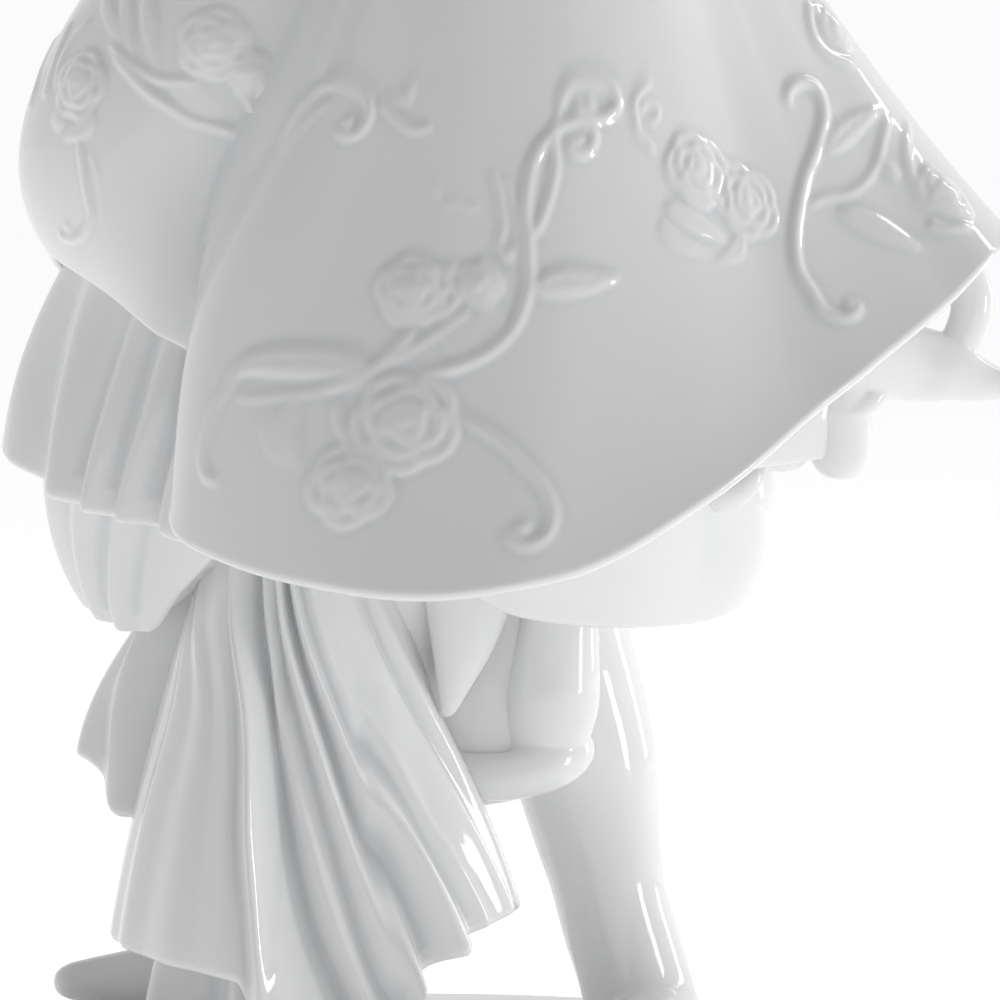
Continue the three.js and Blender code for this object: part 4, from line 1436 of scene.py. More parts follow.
# Ornament on the front of the overskirt, by place in front elevation: (x, height).
FRONT_ORNAMENT: tuple[Relief, ...] = (
    # stem and curls
    Cord(
        (
            (19.3, 168.9), (19.7, 171.5), (21.4, 173.6), (24.2, 174.7), (26.9, 174.1), (28.6, 172.1),
            (29, 169.9), (27.5, 168.2), (25.5, 167.8), (23.5, 168.4), (22.4, 170.1), (23.2, 171.4),
        ),
        1.5, 0.8,
    ),
    Bud((24.5, 170.3), (1.5, 1.4), 0.75, 0),
    Cord(
        (
            (18.7, 164.6), (19.2, 166.6), (21, 167.4), (23, 167.3), (24.7, 165.9), (25.1, 164.1),
            (24.1, 162.4), (22.2, 162), (21.1, 163.2), (21.4, 164.6),
        ),
        1.35, 0.7,
    ),
    Bud((22.7, 164), (1.2, 1.2), 0.6, 0),
    Cord(
        (
            (19.3, 169.4), (17.9, 166), (15.9, 162.9), (14.3, 159.6), (13.5, 155.6), (13.3, 151.7),
            (13.6, 147.9), (13.9, 143.8), (13.9, 140.1), (13.2, 136.7), (11.9, 133.4), (9.7, 130.5),
            (6.6, 128.2), (2.4, 126.7), (-1.9, 125.8), (-5.9, 125.2),
        ),
        1.45, 0.85,
    ),
    Cord(
        (
            (18.6, 167.7), (18.5, 164), (18.3, 160), (17.9, 156.2), (17, 152.9), (15.9, 149.8),
            (14.4, 147.6),
        ),
        1.2, 0.7,
    ),
    Cord(((7.2, 159), (8.5, 156.3), (9.3, 153.3), (9.5, 150.2), (9, 147.1), (9.2, 145.2)), 0.9, 0.5),
    Cord(((9.9, 157.6), (10.9, 154.3), (11.6, 150.9), (12, 147.2), (12.4, 143.8)), 0.7, 0.35),
    # middle roses, leaf and net
    Rose((-5.6, 138.8), 6.4, 0.4, 1.1, 1),
    Rose((5.8, 140.1), 4.3, 1.2, 1, 0.95),
    Cord(((-1.2, 141.3), (0.7, 140.2), (1.4, 138.2), (0.5, 136), (-1.2, 134.5)), 1.1, 0.6),
    Bud((10.3, 145.1), (1.4, 1.4), 0.7, 0),
    Bud((0.3, 142.5), (1.8, 1.5), 0.5, 0.6),
    Leaf(((14.6, 138.8), (19.2, 140.1), (24.4, 140.9), (29.5, 141.2)), 3.2),
    Net((4.6, 132.8), (6.2, 4.6), 0.7),
    Cord(
        (
            (-5.6, 132.4), (-8, 129.7), (-10.7, 127.4), (-14.1, 125.1), (-17.8, 123.3), (-22, 122),
        ),
        1.5, 0.7,
    ),
    Cord(((3.8, 135.8), (0.9, 133.4), (-3, 131.1), (-6.7, 128.9), (-9.8, 126.8)), 1.1, 0.55),
    # long leaf and end curl
    Leaf(((-12.8, 125.3), (-19.2, 126.8), (-26.8, 127.1), (-33.8, 126), (-37.9, 123.2)), 3.4),
    Cord(((-11.3, 124.2), (-18.2, 122.7), (-25.1, 121.4), (-31.7, 120.7), (-36.1, 120.5)), 1.1, 0.45),
    Cord(((-20, 129.3), (-16.2, 128.7), (-13.4, 127.3)), 1.3, 0.4),
    Cord(
        (
            (-35.2, 124.9), (-37.5, 122), (-39.6, 118.6), (-41.1, 115.2), (-41.8, 111.9), (-42, 109.1),
            (-41.3, 107.2), (-40, 106.6), (-39.1, 108.2),
        ),
        1.2, 0.6,
    ),
    Cord(((-30.7, 118.9), (-29.7, 116.3), (-30.2, 113.7)), 0.8, 0.3),
    # lower roses
    Rose((-7.1, 116.8), 9, 0.8, 1.15, 1.05),
    Rose((-16.6, 106.2), 7.4, 2.1, 1.1, 1.05),
    Cord(
        (
            (-18.5, 120.3), (-18.6, 117.9), (-17.8, 114.9), (-16.4, 112.3), (-14.5, 109.3),
            (-12.4, 107.8),
        ),
        1.1, 0.6,
    ),
    Leaf(((-25.1, 120.4), (-27.2, 116.2), (-26.7, 112.1), (-25, 108.8)), 2.4, 0.4),
    Leaf(((-31.6, 117), (-30, 112.8), (-27.1, 109.3)), 1.8, 0.35),
    Bud((-11.1, 105.9), (2, 1.5), 0.5, 0.5),
    Cord(
        (
            (1.4, 118.9), (3.9, 117.5), (7, 115.6), (10, 113), (13.1, 110.3), (15.5, 107.8), (17.1, 105),
            (18, 102.1), (17.7, 99.7), (16.4, 97.7), (14.2, 96.8), (12, 97.1), (10.7, 98.6),
            (10.9, 100.3),
        ),
        1.3, 0.75,
    ),
    Bud((12.9, 99.8), (1.5, 1.5), 0.7, 0),
    # upper left curls of the front
    Cord(
        (
            (-28.6, 163.7), (-26.6, 167.5), (-24, 171), (-21.2, 173.4), (-18.2, 174.5), (-15.8, 173.5),
            (-14.1, 171.4), (-13.5, 169), (-14.4, 166.6), (-16.2, 165), (-18.1, 165), (-19.3, 166.4),
        ),
        1.35, 0.7,
    ),
    Bud((-17.1, 167.4), (1.3, 1.3), 0.6, 0),
    Cord(((-27.9, 162.4), (-25.3, 165.6), (-22.6, 168.7), (-20.2, 170.8)), 0.9, 0.4),
    Cord(((-11.6, 171.2), (-9.9, 169.1), (-7.7, 167.2), (-5.1, 166.2), (-2.6, 166.9)), 1.1, 0.55),
    Bud((-6.6, 172.5), (1.2, 2), 0.6, -0.3),
    Bud((-8.5, 171), (1.7, 1.2), 0.4, 0),
    # specks
    Cord(((-3.4, 158), (-2, 156.6), (-2.2, 154.9)), 0.8, 0.3),
    Cord(((-0.5, 153.2), (1.5, 153.9), (3.9, 153), (5.5, 153.9)), 0.8, 0.28),
    # tendril
    Cord(
        (
            (35.3, 174.2), (33.5, 172.5), (32.3, 170.4), (32.1, 168), (32.8, 165.7), (34.3, 163.5),
            (35.8, 161.6),
        ),
        0.95, 0.5,
    ),
    Cord(
        (
            (33.2, 168.8), (33.9, 170.1), (35.2, 170.1), (36.3, 168.9), (35.8, 167.3), (34.4, 167.2),
        ),
        0.8, 0.4,
    ),
    # right roses
    Rose((43, 158.6), 7.2, 0.5, 1, 1),
    Rose((51.4, 153), 7.4, 1.7, 1, 0.95),
    Leaf(((37.2, 153), (42.1, 150.2), (47.7, 146.9)), 2.4, 0.7),
    Leaf(((36.6, 150.8), (39.3, 146.9), (44.2, 144.8)), 2.2, 0.45),
    Leaf(((50.9, 147.1), (49.5, 144.5), (46.3, 143)), 1.9, 0.4),
    Cord(((47.6, 160.4), (49, 158.8), (49.5, 157)), 1, 0.4),
    # right scroll
    Cord(
        (
            (60.2, 168.7), (59.5, 170.4), (60.6, 172.5), (62.6, 173.1), (64.6, 172.1), (65.7, 169.6),
            (65.8, 166.4), (64.9, 163.1), (63.7, 160.1), (62.3, 156.7), (61.2, 152.9), (60.5, 148.7),
            (60.4, 144.5), (61, 140.8), (62.7, 137.5), (64.8, 134.8), (67.6, 133.3), (70.1, 133.5),
            (71.4, 134.9), (70.2, 136.2),
        ),
        1.6, 0.85,
    ),
    Bud((69.8, 135.1), (1.4, 1.4), 0.6, 0),
    Leaf(((66.3, 161.1), (70.7, 165), (76.2, 168.4)), 2.6, 0.7),
    Cord(
        (
            (62.4, 151.9), (65.6, 153.2), (69.7, 153.9), (73, 155.7), (75.2, 158.9), (76.6, 162.9),
            (77.6, 167),
        ),
        1.2, 0.55,
    ),
    Bud((77.7, 157.7), (1.8, 2.6), 0.6, 0.4),
    Leaf(((68.1, 151.1), (72.8, 149), (77.8, 146.4), (83.3, 144)), 2.9),
)

# Ornament on the far right of the front, where it turns out of sight.
EDGE_ORNAMENT: tuple[Relief, ...] = (
    Rose((87.6, 153.7), 6.4, 0.2, 1, 0.9),
    Cord(((81.5, 165.8), (81, 161.8), (81.4, 157.6), (82.6, 153.6), (84.7, 150.7)), 1.3, 0.5),
    Cord(((84, 151.7), (87.2, 150.9), (90.9, 150.8)), 1.2, 0.7),
    Cord(((84.2, 148.7), (87.7, 147.6), (91.7, 147.6)), 1.3, 0.8),
    Rose((68.2, 182.7), 5.4, 0.9, 1, 0.9),
    Cord(((63.8, 187.3), (63.6, 184.2), (64.8, 180.3), (67.8, 177.4), (72.3, 175.6)), 1.2, 0.55),
)

# Ornament on the lobe of the overskirt at the left.
LOBE_ORNAMENT: tuple[Relief, ...] = (
    Rose((-40.8, 180.5), 6.4, 1.3, 1, 1),
    Rose((-34.6, 175.2), 4.4, 0.6, 1, 0.9),
    Rose((-64.4, 173.1), 6.3, 0.1, 1, 1),
    Leaf(((-62.2, 168.3), (-63.7, 165.5), (-67.3, 163.7)), 2.4, 0.55),
    Bud((-68.4, 167), (2, 2.4), 0.5, 0),
    Leaf(((-56.5, 189.2), (-55.9, 184.4), (-54.9, 178.3)), 1.9, 0.45),
    Leaf(((-52.6, 189.2), (-51.9, 183.5), (-50.8, 176.5)), 1.9, 0.45),
    Leaf(((-60.4, 188.6), (-58.8, 183.9), (-56.5, 179.8)), 1.7, 0.45),
    Cord(
        (
            (-59.4, 180.5), (-56.9, 178.1), (-53.6, 175.7), (-50, 174.3), (-46.2, 173.8), (-42.8, 173.4),
        ),
        1.1, 0.55,
    ),
    Cord(
        (
            (-58.7, 178.4), (-55.8, 175.4), (-52.2, 172), (-48.3, 169.2), (-44.5, 167.1), (-40.2, 165.8),
            (-36.1, 164.4),
        ),
        1.25, 0.65,
    ),
    Net((-43.8, 170.5), (5.6, 2.6), -0.5),
    Cord(((-37.1, 172.8), (-34.9, 170.7), (-33.4, 168.4), (-31.2, 167.2), (-29.1, 167.1)), 1, 0.6),
    Cord(
        (
            (-64.4, 163.8), (-64.1, 160.7), (-63.6, 157.1), (-63, 153.3), (-62.6, 150.2), (-63.4, 147.3),
            (-65.2, 145.7), (-67.5, 145.7), (-68.5, 147.1),
        ),
        1.15, 0.6,
    ),
    Bud((-66.7, 147.7), (1.3, 1.3), 0.45, 0),
    Cord(((-62.6, 161.8), (-61.3, 157.4), (-60.6, 153.1), (-60.7, 149.2)), 0.7, 0.25),
    Cord(((-70.7, 181.9), (-71.3, 177), (-73, 171.7), (-74.2, 168.2)), 1.2, 0.5),
    Cord(((-66.2, 184.1), (-68.3, 179.8), (-70, 174.4), (-71, 170.1)), 1.2, 0.5),
    Cord(((-62.8, 184.2), (-66.1, 180.7), (-68.2, 176.8), (-69, 171.9)), 1, 0.4),
)

# Fold lines down each layer: (bearings at even drops from the ring to the hem), height at the ring
# and at the hem. Ridges stand out, valleys are drawn in, and the fold ends at the first and last line.
FRONT_FALL_FAN = Fan(
    (
        ((168, 176, 199, 197, 194), 0, 0),
        ((174, 183, 205, 203.5, 200.5), -0.1, -0.3),
        ((178, 187, 211, 209.3, 208), 0.2, 0.4),
        ((182, 191, 219, 219.5, 217.5), -0.1, -0.4),
        ((187, 196, 227.1, 231.6, 231), 0.3, 0.7),
        ((198, 205, 232.1, 238.5, 238.8), -0.1, -0.2),
        ((207, 215, 238.7, 246.1, 247.5), 0.1, 0.2),
        ((216, 224, 243.3, 249.6, 254.3), -0.3, -0.7),
        ((224, 231.5, 249.5, 255.6, 261.4), 2.2, 3.6),
        ((231, 238, 256.3, 270.6, 290), -3.6, -6.6),
        ((237.4, 246.9, 264.7, 279.3, 294.4), -1.4, 0),
        ((242.6, 252.2, 271.3, 285.6, 297), -1.8, -1.8),
        ((248, 258, 276.8, 291.8, 300.4), 1.6, 3.2),
        ((251, 262, 282.8, 298.2, 304.8), -1.4, -2.8),
        ((253.5, 265.7, 289, 304.6, 314), 1.6, 3.2),
        ((257, 270, 294.5, 310.7, 322.5), -1.0, -2.4),
        ((264, 277, 301, 317, 329), -0.2, 0.2),
        ((287.1, 296.8, 315.5, 329, 338.1), 0.9, 1.9),
        ((303.6, 310, 323.9, 336.1, 342.3), -0.5, -1.6),
        ((308.9, 315.8, 330.5, 344.8, 349.2), 0.5, 1.2),
        ((320, 327, 342, 357, 361), 0, 0),
    )
)
FIRST_FLOUNCE_FAN = Fan(
    (
        ((160, 162, 164, 166, 172), 0, 0),
        ((170.6, 173.2, 175.9, 177.5, 182.9), 0.3, 1.3),
        ((178, 180.9, 183.8, 188, 191.5), -0.4, -1.6),
        ((187, 189.6, 192.2, 195, 197.5), 0.4, 1.4),
        ((203, 203, 203.5, 203.2, 201.8), -0.4, -1.7),
        ((212, 210, 208.5, 207, 204.9), 0.6, 1.3),
        ((217, 215, 212.8, 210.8, 207.8), -0.3, -1.2),
        ((220, 218, 216, 214.2, 210.8), 0.2, 0.7),
        ((223.5, 221.6, 219.4, 217.7, 214), -0.8, -3.2),
        ((227.5, 226.4, 224.5, 222.6, 219.4), 0.4, 0.9),
        ((242, 241, 239, 237, 235), 0, 0),
    )
)
SECOND_FLOUNCE_FAN = Fan(
    (
        ((182, 180, 178, 176, 174), 0, 0),
        ((190.6, 187.3, 183.9, 181.5, 179.5), 0.4, 1.1),
        ((196.2, 193.5, 190.2, 187, 184), -0.4, -1.1),
        ((200, 197.5, 194.4, 191.2, 187.7), 0.4, 1.1),
        ((205.6, 202.5, 199, 195, 190.9), -0.4, -1.2),
        ((210.4, 206.8, 203, 198.9, 194.2), 0.5, 1.1),
        ((216.5, 212, 207.5, 203, 197.5), -0.6, -1.5),
        ((228, 224, 220, 216, 210), 0, 0),
    )
)
THIRD_FLOUNCE_FAN = Fan(
    (
        ((158, 160, 165, 169, 175), 0, 0),
        ((168, 170, 174, 178, 184), 0.4, 1.5),
        ((173, 175, 180, 185.4, 190.6), -0.4, -1.3),
        ((178, 180.5, 186, 192.4, 197.6), 0.4, 1.5),
        ((185, 189, 196.8, 201, 204.5), -0.6, -2.2),
        ((202, 208, 214, 218, 222), 0, 0),
    )
)


@dataclass(frozen=True)
class Gown:
    """The lady's gown: an overskirt in two panels over three flounces, the front fall and a petticoat."""

    layers: tuple[Layer, ...] = (
        Layer(
            Layers.OVERSKIRT_FRONT.value, **OVERSKIRT,
            columns=((221, 232, 24), (232, 300, 180), (300, 330, 82), (330, 358, 64)),
            rows=((0, 0.4, 12), (0.4, 0.55, 26), (0.55, 0.985, 142), (0.985, 1, 5)),
            reliefs=FRONT_ORNAMENT + EDGE_ORNAMENT,
        ),
        Layer(
            Layers.OVERSKIRT_SIDE.value, **OVERSKIRT,
            columns=((358, 380, 34), (380, 510, 44), (510, 536, 24), (536, 581, 126)),
            rows=((0, 0.4, 12), (0.4, 0.55, 26), (0.55, 0.985, 142), (0.985, 1, 5)),
            reliefs=LOBE_ORNAMENT,
        ),
        Layer(
            Layers.FIRST_FLOUNCE.value, (-4, -8, 175), (-6, -4), 0.8, 24, 16,
            (
                (0, 78, 114, -10), (20, 60, 112, 0), (50, 36, 112, 0), (90, 28, 110, 0),
                (130, 45, 110, 0), (160, 68, 110, 4, 40), (176, 74, 108, 8, 44), (188, 70, 104, 8, 40),
                (200, 66, 100, 4), (215, 58, 96, 0), (235, 52, 92, 0), (270, 50, 100, 0),
                (310, 55, 100, 0), (335, 66, 106, -8), (348, 78, 108, -20),
            ),
            reach=38, fan=FIRST_FLOUNCE_FAN, columns=((0, 150, 36), (150, 250, 160), (250, 360, 34)),
            rows=((0, 1, 75),),
        ),
        Layer(
            Layers.SECOND_FLOUNCE.value, (-8, -2, 122), (-6, 2), 0.9, 14, 8,
            (
                (0, 60, 82, -30, 30), (25, 45, 84, -10), (60, 28, 86, 0), (110, 30, 86, 0),
                (150, 54, 80, -14, 36), (172, 60, 79, -34, 54), (185, 58, 77, -34, 54),
                (197, 53, 75, -26, 36), (210, 48, 84, -14), (223, 45, 92, -5), (245, 43, 94, 0),
                (264, 44, 93, 0), (280, 47, 86, -2), (292, 50, 81, -5), (312, 54, 78.5, -12, 26),
                (330, 57, 78, -20, 30), (345, 61, 80, -36, 32),
            ),
            share=0.98, fan=SECOND_FLOUNCE_FAN,
            columns=((0, 150, 34), (150, 240, 140), (240, 360, 60)), rows=((0, 1, 60),),
        ),
        Layer(
            Layers.THIRD_FLOUNCE.value, (-14, 2, 105), (-20, 4), 0.8, 24, 12,
            (
                (0, 40, 46, -20), (30, 30, 46, 0), (90, 24, 46, 0), (140, 36, 46, 0),
                (168, 46, 52, 6), (185, 46, 52, 4), (200, 40, 42, 4), (220, 28, 42, 0),
                (270, 14, 45, 0), (300, 15, 44, 0), (318, 19, 43, -4), (326, 25, 43.5, -8),
                (332, 33, 44.5, -14), (339, 39.5, 46, -18), (350, 42, 48, -22),
            ),
            reach=20, fan=THIRD_FLOUNCE_FAN,
            columns=((0, 150, 32), (150, 230, 96), (230, 300, 34), (300, 360, 90)),
            rows=((0, 1, 96),),
        ),
        Layer(
            Layers.FRONT_FALL.value, (-26, -10, 108), (-25, -8), 1.0, 20, 12,
            (
                (0, 35, 24, 12, 6), (30, 30, 20, 4, 8), (60, 26, 18, 4), (90, 28, 16, 4),
                (120, 26, 16, 4), (150, 32, 18, 4), (175, 34, 20, 6), (192, 36.5, 21, 10, 20),
                (205, 37, 20.5, 8, 20), (218, 37.5, 19.5, 6, 18), (230, 38.5, 19, 6, 16),
                (243, 39.5, 18, 6, 16), (252, 40, 17, 6, 16), (257, 40, 8, 6, 16),
                (262, 39.5, 0, 8, 14), (272, 39, -1, 10, 13), (287, 39, -1, 12, 9),
                (292, 39, 1, 13, 8), (299, 38.5, 12, 16, 6), (307, 38, 19, 15, 4),
                (319, 38, 22, 18, 4), (330, 37.5, 25, 17, 4), (344, 37.5, 27, 18, 4),
            ),
            reach=11, fan=FRONT_FALL_FAN, columns=((0, 160, 34), (160, 360, 290)),
            rows=((0, 1, 150),),
        ),
        Layer(
            Layers.PETTICOAT.value, (-25, -4, 60), (-28, -2), 1.0, 6, 0,
            (
                (0, 22, -1, 0), (90, 26, -1, 0), (150, 26, -1, 0), (185, 28, -1, 0),
                (200, 24, -1, 0), (225, 20, -1, 0), (250, 26, -1, 0), (300, 26, -1, 0),
            ),
            reach=14, columns=((0, 360, 100),), rows=((0, 1, 40),),
        ),
    )

    # Each gather is its stations, (x, y, height, radius), and how flat it is.
    gathers: tuple[tuple[tuple[tuple[float, float, float, float], ...], float], ...] = (
        # roll under the tip
        (
            (
                (56, -24, 129, 8), (72, -20, 125, 8), (82, -17, 123, 6.9), (88.5, -16.5, 121.8, 6),
                (94, -16, 119.9, 4), (99.5, -15, 118.8, 2.3),
            ),
            1.0,
        ),
        # turned block and its lip
        (
            ((69.4, -20, 125, 5.8), (69.3, -21, 116, 5.8), (69.3, -21, 110.5, 5.7), (69.3, -21, 106.4, 5.2)),
            0.9,
        ),
        (
            (
                (62, -22, 117.6, 1.8), (66, -24, 114.6, 1.8), (70, -24.4, 114.2, 1.9),
                (74, -23.6, 116, 1.9), (77.4, -21, 119.6, 2), (79.4, -19, 122.6, 2),
            ),
            1.0,
        ),
        # tucks along the hem
        (((50, -22, 112, 4), (55, -23, 108.4, 3.6), (59.4, -22.4, 106.8, 3), (62, -21, 106.6, 2)), 0.9),
        (
            (
                (80, -10, 150, 3.4), (88.5, -13, 141, 4.6), (93, -15, 134.6, 4), (91, -16, 127, 3.6),
                (87, -16, 123, 3.6),
            ),
            1.0,
        ),
        (((42, -24, 103, 4), (46.4, -27, 100, 3), (51, -27, 100.6, 2.4), (54.4, -25.4, 104, 2.2)), 0.7),
        # cloth over the knee, the flap beside it and the roll below
        (
            (
                (21, -5, 104, 4.8), (20.4, -6.4, 90, 6), (19.4, -7.6, 76, 7.2), (18.2, -8.4, 62, 8.6),
                (16.8, -7.4, 53, 7),
            ),
            1.0,
        ),
        (
            (
                (4, -12, 94, 10), (3.6, -13, 84, 8.6), (2.4, -14.6, 74, 6.2), (0.8, -16, 66, 3.4),
                (-0.4, -17, 60.6, 1.4),
            ),
            0.7,
        ),
        (
            (
                (-4, -8, 50, 4), (3, -10.5, 48.6, 4.2), (10, -12.6, 48.6, 4.4), (17, -12, 50.4, 4.8),
                (22, -7, 53, 5),
            ),
            1.0,
        ),
    )

    folds_skin: Skin = Skin(0.45, 4, 0.5)

    def build(self) -> list[bpy.types.Object]:
        """Every layer of the gown and the folds under its hem."""
        return [layer.build() for layer in self.layers] + [self.under_folds()]

    def under_folds(self) -> bpy.types.Object:
        """The cloth gathered up under the overskirt's hem: rolls, a turned block, its lip and tucks."""
        rolls = [Limb(stations, squash).shell() for stations, squash in self.gathers]
        return fused("under_folds", rolls, self.folds_skin)


@dataclass(frozen=True)
class Lady:
    """The lady above her gown: bodice, sleeves, hands, neckline and head."""

    bodice: Loft = Loft(
        (
            (-8, -7, 376, 7.5, 8), (-7, -6.5, 362, 7.6, 8), (-6, -6, 352, 8.5, 8.5),
            (-5, -6, 347, 16, 9.5), (-5, -7, 340, 29, 11), (-5, -8, 332, 27, 12.5),
            (-5, -10, 318, 23, 15.5), (-5, -12, 303, 24, 18.5), (-4, -11, 285, 20.5, 15.5),
            (-3, -10, 266, 17.5, 13.5), (-2, -10, 250, 22, 16.5),
        )
    )
    bust: tuple[Egg, ...] = (
        Egg((-5, -17, 306), (21, 13, 22)),
        Egg((-12.2, -17.5, 307), (12, 13.4, 18)), Egg((2.2, -17.5, 307), (12, 13.4, 18)),
    )
    right_arm: Limb = Limb(
        (
            (-31, -7, 338, 9), (-43, -3, 318, 8.6), (-56, 2, 286, 7.4), (-57, -6, 262, 6.6),
            (-51, -17, 235, 4.8),
        ),
        wrinkle=0.16,
    )
    left_arm: Limb = Limb(
        ((22, -6, 338, 9), (38, -10, 322, 8), (48, -9, 308, 7.2), (54, 3, 326, 6.2), (55, 12, 345, 4.8)),
        wrinkle=0.16,
    )
    hands: tuple[Hand, ...] = (
        Hand((-51, -17, 235), (-46, -29, 210), (-38, -26, 225), 5.2),
        Hand((55, 12, 345), (57, 33, 356), (47, 26, 355), 5.2),
    )
    cuffs: tuple[Limb, ...] = (
        Limb(((-53.6, -12.6, 244.6, 5.6), (-51.4, -16.2, 236.8, 6.2)), cap=0.3, rows=30),
        Limb(((54.2, 6.4, 333, 6.3), (54.8, 10.4, 341.6, 6)), cap=0.3, rows=30),
    )
    buttons: tuple[Egg, ...] = (
        Egg((-5.0, -30.7, 302), (1.4, 0.9, 1.4)), Egg((-4.8, -29.4, 294.5), (1.4, 0.9, 1.4)),
        Egg((-4.4, -27.5, 287), (1.4, 0.9, 1.4)), Egg((-4.0, -26.1, 279.5), (1.4, 0.9, 1.4)),
        Egg((-3.6, -24.9, 272), (1.4, 0.9, 1.4)),
    )
    waist: Frill = Frill((-2.6, -10, 258), (17.5, 13.4), 2.4, 0.2, 0, 0.0, 4.2)
    neckline: Frill = Frill((-5, -8.4, 335.5), (24.5, 11.6), 4.2, 4.2, 26, 0.8, 1.6, 2.0)
    head: Head = Head((-9, -8, 386), (16.4, 19.5, 25), 48, -14, 9, (19, 4, (11, 9, 12)))
    body_skin: Skin = Skin(0.6, 5, 0.5)
    hand_skin: Skin = Skin(0.4, 3, 0.65)
    head_skin: Skin = Skin(0.45, 2, 0.64)

    def build(self) -> list[bpy.types.Object]:
        """The lady above the waist, all her parts in place.

        Returns:
            Her bodice, neckline, hands and head.
        """
        arms = (self.right_arm, self.left_arm)
        upper = (self.bodice, *self.bust, *arms, self.waist, *self.cuffs, *self.buttons)
        fingers = [shell for hand in self.hands for shell in hand.shells()]
        return [
            fused("lady_bodice", [piece.shell() for piece in upper], self.body_skin),
            mesh_object("lady_neckline", [self.neckline.shell()]),
            fused("lady_hands", fingers, self.hand_skin),
            fused("lady_head", self.head.shells(), self.head_skin),
        ]


